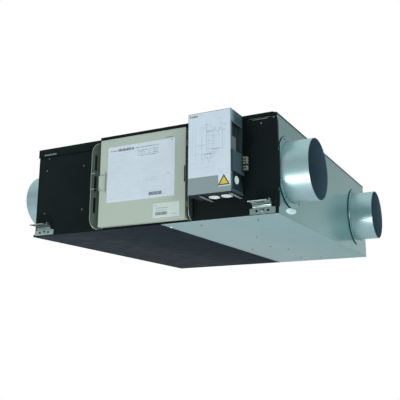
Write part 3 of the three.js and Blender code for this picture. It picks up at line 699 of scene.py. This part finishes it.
def make_print(name, face, bars, depth, material, body):
    """Ink as bars a twentieth of a millimetre thick."""
    shape = bmesh.new()
    for u0, u1, v0, v1 in bars:
        add_plate(shape, face, rectangle(u0, u1, v0, v1), (depth, depth + 0.05))
    make_piece(name, shape, material, body)


def make_sheet(name, face, u, v, depth, material, body, radius=1.5):
    shape = bmesh.new()
    add_plate(shape, face, rounded(*u, *v, radius), depth)
    make_piece(name, shape, material, body)


def door_labels():
    low, high = drawn("door_panel")
    face = front_face(low.y)
    draw = random.Random(11)
    u, v = (low.x + 31, high.x - 38), (low.z + 75, high.z - 29)
    make_sheet("door_label", face, u, v, (0.0, 0.12), LABEL, "service_door")
    left, right = u[0] + 8, u[1] - 8
    top = v[1] - 8

    dark = word_row(draw, left, left + 30, top - 8, 3.6, (1.6, 4.0))
    dark += word_row(draw, left + 32, left + 90, top - 10, 9.0, (3.0, 6.0))
    dark += word_row(draw, left + 90, right - 50, top - 7, 2.6, (2.0, 8.0))
    dark += stripe_code(draw, right - 84, right - 38, v[0] + 9, v[0] + 20)
    dark += word_row(draw, right - 8, right + 2, top + 1, 2.4, (1.6, 3.0))
    make_print("door_label_print", face, dark, 0.12, INK, "service_door")

    # A plan sketch of the unit with its four ducts, and rows of small print below it.
    sketch = box_frame(left + 118, left + 166, top - 34, top - 16, 1.0)
    for du in (106, 168):
        for dv in (-34, -22):
            sketch += box_frame(left + du, left + du + 10, top + dv, top + dv + 7, 0.8)
    for row in range(4):
        sketch += word_row(draw, left + 104, left + 184, top - 16 - row * 6.5, 2.4, (2.0, 6.0), 0.6)
    sketch += word_row(draw, left + 128, right - 54, v[0] + 60, 1.0, (6.0, 20.0))
    sketch += word_row(draw, right - 20, right - 8, v[0] + 72, 2.4, (2.0, 4.0))
    make_print("door_label_sketch", face, sketch, 0.12, MEDIUM_INK, "service_door")

    faint = word_row(draw, left, left + 98, top - 18, 1.6, (3.0, 12.0))
    for row in range(24):
        height = top - 26 - row * 6.4
        if height > v[0] + 8:
            end = left + 100 if row < 3 else right - draw.uniform(0, 90)
            faint += word_row(draw, left, end, height, 1.3, (4.0, 18.0), 0.75)
            faint.append((u[0] + 3, u[0] + 4.6, height, height + 1.6))
    faint += box_frame(left + 128, right, v[0] + 24, v[0] + 68, 0.8)
    make_print("door_label_small_print", face, faint, 0.12, FAINT_INK, "service_door")

    # Two short marks stand on the door itself above the label.
    marks = word_row(draw, high.x - 72, high.x - 48, high.z - 25, 2.6, (2.0, 6.0))
    make_print("door_marks", face, marks, 0.0, INK, "service_door")

    u, v = (high.x - 113, high.x - 20), (low.z + 10, low.z + 56)
    make_sheet("door_plate", face, u, v, (0.0, 0.12), PLATE_LABEL, "service_door")
    plate = stripe_code(draw, u[0] + 9, u[0] + 51, v[0] + 8, v[0] + 18)
    make_print("door_plate_code", face, plate, 0.12, INK, "service_door")
    lines = word_row(draw, u[0] + 6, u[0] + 18, v[1] - 8, 1.6, (2.0, 5.0))
    lines += word_row(draw, u[0] + 12, u[0] + 56, v[1] - 17, 2.8, (2.0, 7.0))
    lines += word_row(draw, u[0] + 14, u[0] + 54, v[1] - 24, 2.2, (2.0, 7.0))
    lines += word_row(draw, u[0] + 66, u[1] - 8, v[0] + 8, 1.8, (2.0, 5.0))
    make_print("door_plate_print", face, lines, 0.12, MEDIUM_INK, "service_door")


# ---------------------------------------------------------------- door details
def latch_clip():
    """A spring plate on the door's edge, with a wire loop that hooks behind the slotted flange."""
    low, high = drawn("latch_clip")
    bracket_low, bracket_high = drawn("clip_bracket")
    axis_x = (bracket_low.x + bracket_high.x) / 2
    plate_z = (bracket_low.z + 4, bracket_high.z - 4)
    door_y = drawn("door_panel")[0].y
    face = front_face(door_y - 0.4)
    left = drawn("door_panel")[0].x - 3
    plate = bmesh.new()
    add_plate(plate, face, rounded(left, axis_x - 1, *plate_z, 1.2), (0.0, 1.2))
    roll = [(1.5, plate_z[0]), (2.2, plate_z[0]), (2.2, plate_z[1]), (1.5, plate_z[1])]
    add_turned(plate, roll, (axis_x, door_y - 2.7, 0), (0, 0, 1), sides=24)
    own_node = ("latch_clip",)
    make_piece("latch_clip_plate", plate, COVER, "latch_clip", replaces=own_node, smooth=40)
    # The plate's dark outline: painted shade along its edges.
    outline = bmesh.new()
    for bar in box_frame(left + 0.4, axis_x - 2.4, plate_z[0] + 0.4, plate_z[1] - 0.4, 0.9):
        add_plate(outline, face, rectangle(*bar), (1.2, 1.35))
    make_piece("latch_clip_outline", outline, SHADED_COVER_PAINT, "latch_clip")
    wire = bmesh.new()
    radius = 1.1
    wire_y = door_y - 2.9
    levels = (low.z + 8, high.z - radius)
    for z in levels:
        add_tube(wire, [(low.x + 3, wire_y, z), (left + 6, wire_y, z)], radius - 0.3, sides=8)
    add_tube(wire, [(low.x + 3, wire_y, z) for z in levels], radius - 0.3, sides=8)
    make_piece("latch_clip_loop", wire, DARK_ZINC, "latch_clip", smooth=50)
    # The wire's ends where they cross the flange are drawn bright: a painted highlight.
    hooks = bmesh.new()
    for z in levels:
        add_tube(hooks, [(low.x + 4, wire_y, z), (low.x + 20, wire_y, z)], radius + 0.35, sides=10)
    make_piece("latch_clip_hooks", hooks, EDGE_HIGHLIGHT, "latch_clip", smooth=50)


def door_details():
    low, high = drawn("door_panel")
    # The door pan's side seam and a dark slot at its right edge.
    side = right_face(high.x)
    # The seam is a bright bar: a painted highlight along the door's side edge.
    seam = bmesh.new()
    add_plate(seam, side, rectangle(low.y + 3.0, low.y + 5.0, low.z + 8, high.z - 8), (0.0, 0.5))
    make_piece("door_side_seam", seam, EDGE_HIGHLIGHT, "service_door")
    slot = bmesh.new()
    add_plate(slot, front_face(low.y), rounded(high.x - 4.4, high.x - 0.8, 121, 172, 1.4), (0.0, 0.3))
    make_piece("door_edge_slot", slot, BLACK, "service_door")


# ---------------------------------------------------------------- front panels
def louvre(name, u0, u1, v0, v1, y, rib_highlight):
    """A stamped slot plate: a dark sheet with a row of narrow pressed ribs, drawn lighter as a painted
    highlight.
    """
    face = front_face(y)
    plate = bmesh.new()
    add_plate(plate, face, rounded(u0, u1, v0, v1, 2.5), (0.0, 0.8))
    make_piece(f"{name}_plate", plate, BLACK)
    ribs = bmesh.new()
    count = 7
    pitch = (u1 - u0 - 12) / count
    for i in range(count):
        left = u0 + 6 + i * pitch
        add_block(ribs, (left, y - 1.9, v0 + 2.4), (left + pitch * 0.72, y - 0.6, v1 - 2.4), 0.5)
    make_piece(f"{name}_ribs", ribs, rib_highlight, smooth=40)


def front_details():
    left = front_face(drawn("front_left_panel")[0].y)
    places = [(37, 228), (194, 228), (37, 78), (194, 78), (44, 271)]
    make_screws("front_left_screws", left, places, 3.0, SCREW)
    louvre("left_slot", 19, 84, 279.5, 289.5, drawn("front_top_rail")[0].y + 22.6, LEDGE_HIGHLIGHT)
    right_low, right_high = drawn("front_right_panel")
    right = front_face(right_low.y)
    make_screws("front_right_screws", right, [(840, 276), (880, 290)], 3.2, SCREW)
    # The ledges are drawn lighter than the black panel: painted highlight on their edges.
    ledges = ((800, 842, 293.0, 0.9), (812, 862, 288.5, 1.6), (846, 872, 292.0, 0.9))
    front = right.corner.y
    for i, (u0, u1, v, height) in enumerate(ledges):
        ledge = bmesh.new()
        add_block(ledge, (u0, front - 2.0, v), (u1, front - 0.1, v + height), 0.4)
        make_piece(f"right_slot_ledge_{i + 1}", ledge, LEDGE_HIGHLIGHT, smooth=40)
    corner = right_face(right_high.x)
    make_screws("corner_screws", corner, [(5.5, 192), (5.5, 72)], 2.6, SCREW)

    # Folded lip down the inner edge of the left panel and a shadow gap beside the latch flange.
    lip = bmesh.new()
    add_block(lip, (2, -0.9, 3), (4.6, 0.0, 280), 0.3)
    add_block(lip, (257, -0.9, 3), (259.6, 0.0, 280), 0.3)
    make_piece("front_left_folds", lip, BLACK, smooth=40)


# ---------------------------------------------------------------- control box
def control_box_labels():
    low, high = drawn("control_box_cover")
    face = front_face(low.y)
    draw = random.Random(5)
    u, v = (low.x + 1.5, high.x - 1.5), (low.z + 50, high.z - 2)
    make_sheet("box_label", face, u, v, (0.0, 0.12), BOX_LABEL, "casing")
    left, right, top = u[0] + 8, u[1] - 8, v[1] - 8
    heading = word_row(draw, left - 4, left + 22, top - 3, 6.5, (2.6, 5.0))
    make_print("box_label_heading", face, heading, 0.12, INK, "casing")
    height = top - v[0]
    lines = word_row(draw, left + 26, left + 62, top - 0.5, 2.4, (2.0, 6.0))
    # A wiring sketch: parts in boxes near the top, wires down and across, and terminals below.
    for i in range(15):
        x = left + 40 + draw.uniform(0, right - left - 52)
        z = top - 16 - draw.uniform(0, 42)
        lines += box_frame(x, x + draw.uniform(5, 11), z, z + draw.uniform(4, 9), 0.9)
    for i in range(9):
        x = draw.uniform(left, right)
        z = top - 22 - draw.uniform(0, 30)
        lines.append((x, x + 0.9, max(v[0] + 30, z - draw.uniform(40, 95)), z))
    for i in range(13):
        x = draw.uniform(left, right - 34)
        z = v[0] + 36 + draw.uniform(0, height - 66)
        lines.append((x, x + draw.uniform(14, 34), z, z + 0.9))
    for i in range(9):
        x = left + 34 + i * 5
        z = v[0] + 58 + draw.uniform(-8, 10)
        lines.append((x, x + 1.2, z - draw.uniform(4, 14), z))
    lines += word_row(draw, left + 36, left + 78, v[0] + 66, 2.6, (2.0, 6.0), 0.8)
    make_print("box_label_lines", face, lines, 0.12, BOX_INK, "casing")
    notes = []
    for row in range(12):
        start = left + draw.uniform(0, 60)
        end = start + draw.uniform(20, 60)
        notes += word_row(draw, start, end, v[0] + 14 + row * 13.5, 1.4, (3.0, 9.0), 0.7)
    for row in range(4):
        notes += word_row(draw, right - 32, right + 4, v[0] + 4 + row * 4.2, 1.6, (2.0, 7.0), 0.8)
    notes = [bar for bar in notes if bar[1] < u[1]]
    make_print("box_label_notes", face, notes, 0.12, BOX_FAINT_INK, "casing")

    # A plain yellow triangle on a white patch, without a symbol.
    patch_u, patch_v = (high.x - 40, high.x - 1.5), (low.z + 16, low.z + 52)
    make_sheet("sign_patch", face, patch_u, patch_v, (0.12, 0.24), BOX_LABEL, "casing")
    middle = (patch_u[0] + patch_u[1]) / 2
    base = patch_v[0] + 3.0
    for name, inset, depth, ink in (("border", 0.0, 0.24, SIGN_INK), ("field", 3.6, 0.3, YELLOW)):
        half = 19.4 - inset * 1.7
        triangle = [
            (middle - 1.5 - half, base + inset),
            (middle - 1.5 + half, base + inset),
            (middle - 1.5, base + 32.5 - inset * 2.0),
        ]
        shape = bmesh.new()
        add_plate(shape, face, triangle, (depth, depth + 0.06))
        make_piece(f"sign_{name}", shape, ink)


def grommet(name, face, u, v, radius):
    """A round rubber grommet with a thick rim and a thin dished membrane."""
    profile = [
        (0.0, 1.0),
        (radius * 0.55, 1.2),
        (radius * 0.72, 2.2),
        (radius * 0.82, 3.4),
        (radius * 0.94, 3.8),
        (radius * 1.05, 3.0),
        (radius * 1.08, 1.4),
        (radius * 1.02, 0.4),
        (radius * 0.9, 0.2),
        (radius * 0.86, -1.9),
        (0.0, -1.2),
    ]
    shape = bmesh.new()
    centre = face.corner + face.u * u + face.v * v
    add_turned(shape, profile, tuple(centre), tuple(face.out), sides=40)
    make_piece(name, shape, WHITE_RUBBER, smooth=50)


def control_box_side():
    low, high = drawn("control_box_body")
    lid_left, lid_right = (corner.x for corner in drawn("control_box_cover"))
    side = right_face(lid_right)
    # Inside the recess: a relay plate, and a dark ring round the cable hole.
    pocket = right_face(lid_right - 10)
    plate = bmesh.new()
    add_plate(plate, pocket, rounded(-67, -35, 186.5, 230, 1.5), (0.3, 3.0))
    make_piece("recess_plate", plate, GREY_PLASTIC)
    ring = bmesh.new()
    profile = [(6.4, -1.0), (11.6, 0.3), (12.2, 1.4), (11.0, 2.2), (7.4, 2.0), (6.2, 1.0)]
    add_turned(ring, profile, (pocket.corner.x, -60, 246), (1, 0, 0), sides=36)
    make_piece("recess_ring", ring, RUBBER, smooth=40)
    strip = bmesh.new()
    add_block(strip, (lid_right - 0.2, -80, 267.0), (lid_right + 1.0, -10, 269.4), 0.4)
    make_piece("recess_edge", strip, STRIP_STEEL, smooth=40)
    cover = bmesh.new()
    add_plate(cover, right_face(high.x), rectangle(-81.6, -4, 119.4, 181.6), (0.0, 0.3))
    # The lid's folded edge runs down the side, widest above the recess.
    lid_front = drawn("control_box_cover")[0].y
    skin = (lid_right - 0.1, lid_right + 0.7)
    lip = bmesh.new()
    for z0, z1 in ((low.z + 9.4, 118.6), (183, 269.0)):
        add_block(lip, (skin[0], lid_front + 0.6, z0), (skin[1], lid_front + 8, z1), 0.2)
    make_piece("lid_lip", lip, LID_LIP)
    # Above the recess the fold steps from bright at the front to dark at the back: painted highlight and
    # painted shade.
    top_z = (270.2, high.z - 0.6)
    edges = (0.6, 11.0, 24.0, 76.0)
    tones = (("bright", LID_HIGHLIGHT), ("middle", LID_LIP), ("shade_painted", LID_SHADE))
    for y0, y1, (tone, material) in zip(edges, edges[1:], tones):
        fold = bmesh.new()
        add_block(fold, (skin[0], lid_front + y0, top_z[0]), (skin[1], lid_front + y1, top_z[1]))
        make_piece(f"lid_fold_{tone}", fold, material)
    under = under_face(low.z)
    holes = [circle(-46, x, 14.6) for x in (708, 748)]
    ground = bmesh.new()
    add_plate(ground, under, rectangle(low.y + 0.5, -3.2, lid_left + 0.5, lid_right - 0.5), (0.0, 0.3), holes)
    make_piece("box_floor_face", ground, BOX_FLOOR)
    fold = bmesh.new()
    add_block(fold, (lid_left + 1, -66.5, low.z - 4.4), (lid_right - 1, -65.3, low.z), 0.3)
    make_piece("box_floor_fold", fold, BOX_FLOOR)
    add_block(cover, (lid_right - 0.1, low.y + 1, low.z + 0.2), (lid_right + 0.7, -4, low.z + 9), 0.2)
    make_piece("raised_cover_face", cover, RAISED_STEEL)

    # Connectors on the raised cover.
    start = drawn("side_connectors")[0].x
    base = bmesh.new()
    add_block(base, (start, -24, 131), (start + 2, -5, 177), 0.4)
    for z0, z1 in ((150, 176), (131.5, 147.5)):
        add_block(base, (start + 1.5, -21, z0), (start + 13, -8, z1), 0.6)
    own_node = ("side_connectors",)
    make_piece("connector_sockets", base, DARK_PLASTIC, replaces=own_node, smooth=40)
    pins = bmesh.new()
    for z in (152, 160, 168, 133.5, 141.5):
        add_block(pins, (start + 5, -22.4, z), (start + 12, -7, z + 4.2), 0.8)
        add_block(pins, (start + 13.5, -22.4, z), (start + 17.5, -10, z + 5.2), 0.8)
    add_block(pins, (start + 16, -22.4, 152), (start + 18.5, -18, 173.2), 0.8)
    add_block(pins, (start + 16, -22.4, 133.5), (start + 18.5, -18, 146.7), 0.8)
    make_piece("connector_housings", pins, CREAM_PLASTIC, smooth=40)

    # Cable entries: one in the side and two in the floor.
    grommet("side_grommet", side, -51, 97, 11.5)
    floor = under_face(low.z - 1.6)
    for i, x in enumerate((708, 748)):
        grommet(f"floor_grommet_{i + 1}", floor, -45, x, 15.6)

    # Strip rails under the floor hold the box to the casing.
    rails = bmesh.new()
    for x in (675, 769):
        add_block(rails, (x, -75, low.z - 6.2), (x + 10, -1.2, low.z - 4.8), 0.3)
        add_block(rails, (x, -75, low.z - 5.2), (x + 1.2, -1.2, low.z - 0.1), 0.3)
    make_piece("box_floor_rails", rails, STRIP_STEEL, smooth=40)


# ---------------------------------------------------------------- casing seams, caps and screws
def edge_strip(name, corners, material):
    """A folded sheet edge as a thin bar between two corners."""
    shape = bmesh.new()
    for low, high in corners:
        add_block(shape, low, high, 0.35)
    make_piece(name, shape, material, smooth=40)


def casing_details():
    top = CASE_H
    edge_strip(
        "top_side_edges",
        [
            ((CASE_W, 2, top - 4.5), (CASE_W + 1.4, CASE_D, top - 0.2)),
            ((-1.4, 2, top - 4.5), (0, CASE_D, top - 0.2)),
            ((0, CASE_D, top - 4.5), (CASE_W, CASE_D + 1.4, top - 0.2)),
        ],
        DARK_ZINC,
    )
    edge_strip(
        "bottom_side_edges",
        [
            ((CASE_W, 14, 0.2), (CASE_W + 0.9, CASE_D, 3.4)),
            ((0, CASE_D, 0.2), (CASE_W, CASE_D + 0.9, 3.4)),
        ],
        GALVANISED,
    )
    # The dark liner's folded edge stands along the joint between the underside panels.
    joint = drawn("underside_panel_right")[0].x
    edge_strip(
        "underside_joint",
        [((joint - 3.2, 0.5, -0.9), (joint + 0.6, CASE_D - 0.5, 0.1))],
        BLACK,
    )

    # An oval inspection cap low on the right end, with a dished middle.
    cap = bmesh.new()
    face = right_face(CASE_W)
    slope = 0.16
    add_plate(cap, face, oval(101, 24.5, 43, 9.0, slope), (0.0, 2.2))
    add_plate(cap, face, oval(101, 24.5, 37, 6.2, slope), (2.2, 3.0))
    make_piece("inspection_cap", cap, WHITE_PLASTIC)
    marks = bmesh.new()
    for u in (88, 99, 110):
        v = 24.5 + slope * (u - 99)
        add_plate(marks, face, rounded(u, u + 5, v - 1.1, v + 1.1, 1.0), (3.0, 3.2))
    make_piece("inspection_cap_marks", marks, FAINT_INK)


def casing_screws():
    under = under_face(0.0)
    places = [(341, 675), (593, 549), (559, 638), (657, 674), (907, 636), (946, 711), (60, 610), (60, 800)]
    make_screws("underside_screws", under, places, 2.8, DARK_ZINC)
    make_screws("joint_rivet", under, [(50, 508)], 3.4, WHITE_PLASTIC)
    dark = [(y, x) for x in (16, 480) for y in (120, 380, 640, 900)]
    make_screws("liner_screws", under, dark, 3.2, BLACK)
    right = right_face(CASE_W)
    edge = [(y, 290) for y in (260, 470, 680)]
    make_screws("right_end_screws", right, edge + [(1004, 150), (1004, 30), (1004, 280)], 2.4, GALVANISED)
    left = left_face(0.0)
    make_screws("left_end_screws", left, [(-u, v) for u, v in edge] + [(-1004, 150), (-1004, 30)], 3.2)
    rear = rear_face(CASE_D)
    places = [(-x, z) for x in (20, 235, 450, 660, 868) for z in (290, 40)]
    make_screws("rear_screws", rear, places, 3.2)
    top = top_face(CASE_H)
    rim = [(x, y) for x in (16, 300, 588, 872) for y in (14, CASE_D - 14)]
    rim += [(x, y) for x in (16, 872) for y in (270, 508, 746)]
    make_screws("top_screws", top, rim, 3.2)


def bracket_base(corner, x, wall, side):
    """The wall plate's face, its two screws and the tongue pressed out between them."""
    at_rear = side < 0
    face = rear_face(wall + 2.7) if at_rear else front_face(-2.7)
    u = -x if at_rear else x
    screw_u, screw_v = 18, 12
    holes = [circle(u + du, screw_v, 3.6) for du in (-screw_u, screw_u)]
    plate = bmesh.new()
    add_plate(plate, face, rectangle(u - 39.4, u + 39.4, 3.4, 20.2), (0.0, 0.25), holes)
    # The front left wall plate is painted lighter than the others: painted light where light falls on it.
    zinc = ZINC_LIT if corner == "front_left" else ZINC
    make_piece(f"bracket_plate_{corner}", plate, zinc)
    screws = [(u - screw_u, screw_v), (u + screw_u, screw_v)]
    make_screws(f"bracket_screws_{corner}", face, screws, 3.3, BLACK)
    # A black patch above the tongue: painted shade in its opening.
    slot = bmesh.new()
    add_plate(slot, face, rounded(u - 6, u + 6, 13.2, 17.4, 1.5), (0.25, 0.4))
    make_piece(f"bracket_tongue_slot_{corner}", slot, BLACK)
    # The pressed tongue is drawn bright: a painted highlight.
    tongue = bmesh.new()
    reach = sorted((wall - 6.4 * side, wall - 2.9 * side))
    add_block(tongue, (x - 4.2, reach[0], 7.4), (x + 4.2, reach[1], 13.2), 0.8)
    make_piece(f"bracket_tongue_{corner}", tongue, EDGE_HIGHLIGHT, smooth=40)


def bracket_shelf(corner, x, wall, side):
    """The neck's bend, the slot's rim and the shelf's cut edge as painted highlights, with painted shade."""
    half_width = 28.8
    bend = bmesh.new()
    add_tube(bend, [(x + dx, wall - 5.2 * side, 23.6) for dx in (-half_width, half_width)], 1.9, sides=8)
    make_piece(f"bracket_bend_{corner}", bend, EDGE_HIGHLIGHT, smooth=50)
    shade = bmesh.new()
    depth = sorted((wall - 8.6 * side, wall - 8.2 * side))
    add_block(shade, (x - half_width, depth[0], 27.6), (x + half_width, depth[1], 31.6), 0.1)
    make_piece(f"bracket_shade_{corner}", shade, DARK_ZINC)

    shelf = under_face(32.4)
    slot_x, slot_y = x + 3 * side, wall - 27 * side
    slot_half_x, slot_half_y = 15.2, 6.2

    def slot_outline(margin, radius):
        reach_x, reach_y = slot_half_x + margin, slot_half_y + margin
        return rounded(slot_y - reach_y, slot_y + reach_y, slot_x - reach_x, slot_x + reach_x, radius)

    outer = slot_outline(2.4, 8.5)
    rim = bmesh.new()
    add_plate(rim, shelf, outer, (0.0, 0.8), [slot_outline(-0.1, 6.0)])
    make_piece(f"bracket_slot_rim_{corner}", rim, EDGE_HIGHLIGHT)
    # The slot's inner wall is black: painted shade in the opening.
    cut_edge = bmesh.new()
    add_plate(cut_edge, shelf, slot_outline(-0.05, 6.1), (-2.2, 0.7), [slot_outline(-0.3, 5.8)])
    make_piece(f"bracket_slot_edge_{corner}", cut_edge, BLACK)
    low, high = drawn(f"hanging_bracket_{corner}")
    # The front left shelf's underside gets a dark plate: painted shade under the shelf.
    if corner == "front_left":
        shade_painted = bmesh.new()
        reach = rectangle(low.y + 1.5, -9.0, x - 28.6, x + 28.6)
        add_plate(shade_painted, shelf, reach, (0.0, 0.2), [outer])
        make_piece("bracket_shelf_dull", shade_painted, DARK_ZINC)
    edge_y = high.y if side < 0 else low.y
    edge = bmesh.new()
    add_tube(edge, [(x - 28.6, edge_y, 33.5), (x + 28.6, edge_y, 33.5)], 1.2, sides=8)
    make_piece(f"bracket_edge_{corner}", edge, EDGE_HIGHLIGHT, smooth=50)


def bracket_details():
    for corner, x in (("front_left", 41), ("front_right", 840), ("rear_left", 48), ("rear_right", 847)):
        at_rear = corner.startswith("rear")
        wall = CASE_D if at_rear else 0.0
        side = -1 if at_rear else 1
        bracket_base(corner, x, wall, side)
        bracket_shelf(corner, x, wall, side)


# ---------------------------------------------------------------- camera, light and stage
CAMERA_PLACE = (1.0852, -2.1749, -0.3674)
CAMERA_TURN = (103.453, 0.241, 25.577)
CAMERA_LENS = 57.86


def make_camera():
    data = bpy.data.cameras.new("camera")
    data.lens = CAMERA_LENS
    data.sensor_width = 36.0
    data.shift_x = -0.0727
    data.shift_y = -0.0166
    camera = bpy.data.objects.new("camera", data)
    camera.location = CAMERA_PLACE
    camera.rotation_euler = [math.radians(angle) for angle in CAMERA_TURN]
    SCENE.collection.objects.link(camera)
    SCENE.camera = camera


def area_light(name, place, target, size, power, color=(1, 1, 1), glossy=True):
    data = bpy.data.lights.new(name, "AREA")
    data.shape = "RECTANGLE"
    data.size, data.size_y = size
    data.energy = power
    data.color = color
    light = bpy.data.objects.new(name, data)
    light.location = place
    aim = Vector(target) - Vector(place)
    light.rotation_euler = aim.to_track_quat("-Z", "Y").to_euler()
    light.visible_camera = False
    light.visible_glossy = glossy
    SCENE.collection.objects.link(light)


def make_world():
    """White behind the object, and a soft studio gradient for light and reflections."""
    world = bpy.data.worlds.new("studio")
    world.use_nodes = True
    tree = world.node_tree
    tree.nodes.clear()
    coordinates = tree.nodes.new("ShaderNodeTexCoord")
    split = tree.nodes.new("ShaderNodeSeparateXYZ")
    tree.links.new(coordinates.outputs["Generated"], split.inputs["Vector"])
    ramp = tree.nodes.new("ShaderNodeValToRGB")
    stops = ((0.0, 0.5), (0.42, 0.42), (0.5, 0.68), (0.57, 0.7), (0.66, 0.42), (0.8, 0.75), (1.0, 1.0))
    ramp.color_ramp.elements[0].position = stops[0][0]
    ramp.color_ramp.elements[1].position = stops[-1][0]
    for position, _ in stops[1:-1]:
        ramp.color_ramp.elements.new(position)
    for element, (_, grey) in zip(ramp.color_ramp.elements, stops):
        element.color = (grey * 0.92, grey, grey * 1.01, 1.0)
    height = tree.nodes.new("ShaderNodeMapRange")
    height.inputs["From Min"].default_value = -1.0
    tree.links.new(split.outputs["Z"], height.inputs["Value"])
    tree.links.new(height.outputs["Result"], ramp.inputs["Fac"])
    studio = tree.nodes.new("ShaderNodeBackground")
    tree.links.new(ramp.outputs["Color"], studio.inputs["Color"])
    white = tree.nodes.new("ShaderNodeBackground")
    path = tree.nodes.new("ShaderNodeLightPath")
    mix = tree.nodes.new("ShaderNodeMixShader")
    tree.links.new(path.outputs["Is Camera Ray"], mix.inputs["Fac"])
    tree.links.new(studio.outputs["Background"], mix.inputs[1])
    tree.links.new(white.outputs["Background"], mix.inputs[2])
    white.inputs["Color"].default_value = (1, 1, 1, 1)
    output = tree.nodes.new("ShaderNodeOutputWorld")
    tree.links.new(mix.outputs["Shader"], output.inputs["Surface"])
    SCENE.world = world


def make_floor():
    """A plain pale floor well below the hanging unit."""
    shape = bmesh.new()
    bmesh.ops.create_circle(shape, cap_ends=True, radius=12.0, segments=96)
    mesh = bpy.data.meshes.new("floor")
    shape.to_mesh(mesh)
    shape.free()
    floor = bpy.data.objects.new("floor", mesh)
    floor.location.z = -1.6
    SCENE.collection.objects.link(floor)
    material, tree, shader = new_shader("pale_floor", (0.8, 0.8, 0.8), 0.8)
    tone = spread(tree, noise(tree, object_coordinates(tree), 1.5), 0.0, 1.0)
    mixed = blend_colors(tree, tone, (0.79, 0.79, 0.79), (0.82, 0.82, 0.82))
    tree.links.new(mixed, shader.inputs["Base Color"])
    mesh.materials.append(material)


def make_lights():
    centre = (0.0, 0.0, 0.15)
    tint = (0.88, 1.0, 1.02)
    area_light("key", (-1.6, -3.0, 2.2), centre, (2.4, 2.4), 60, tint, glossy=False)
    area_light("fill", (3.0, -1.6, 1.4), centre, (2.0, 2.0), 25, tint, glossy=False)
    warm = (1.0, 0.93, 0.92)
    area_light("low_front", (-0.3, -1.9, -1.2), (0.45, -0.3, 0.15), (0.8, 0.4), 18, warm)
    area_light("right_front", (2.3, -1.5, 0.1), (0.3, 0.2, 0.15), (1.2, 0.9), 9, tint)


# ---------------------------------------------------------------- build
SCENE.view_settings.view_transform = "Standard"
make_camera()
make_world()
make_floor()
make_lights()
dress_nodes()
duct_spigot("spigot_supply_air", True)
duct_spigot("spigot_return_air", True)
duct_spigot("spigot_outdoor_air", False)
duct_spigot("spigot_exhaust_air", False)
SLANT = math.sqrt(0.5)
service_flange("latch_flange", (266, -1.6), (-SLANT, -SLANT, 0), 31.0)
service_flange("hinge_flange", (609.6, -0.4), (0, -1, 0), 23.6)
door_labels()
latch_clip()
door_details()
front_details()
control_box_labels()
control_box_side()
casing_details()
casing_screws()
bracket_details()
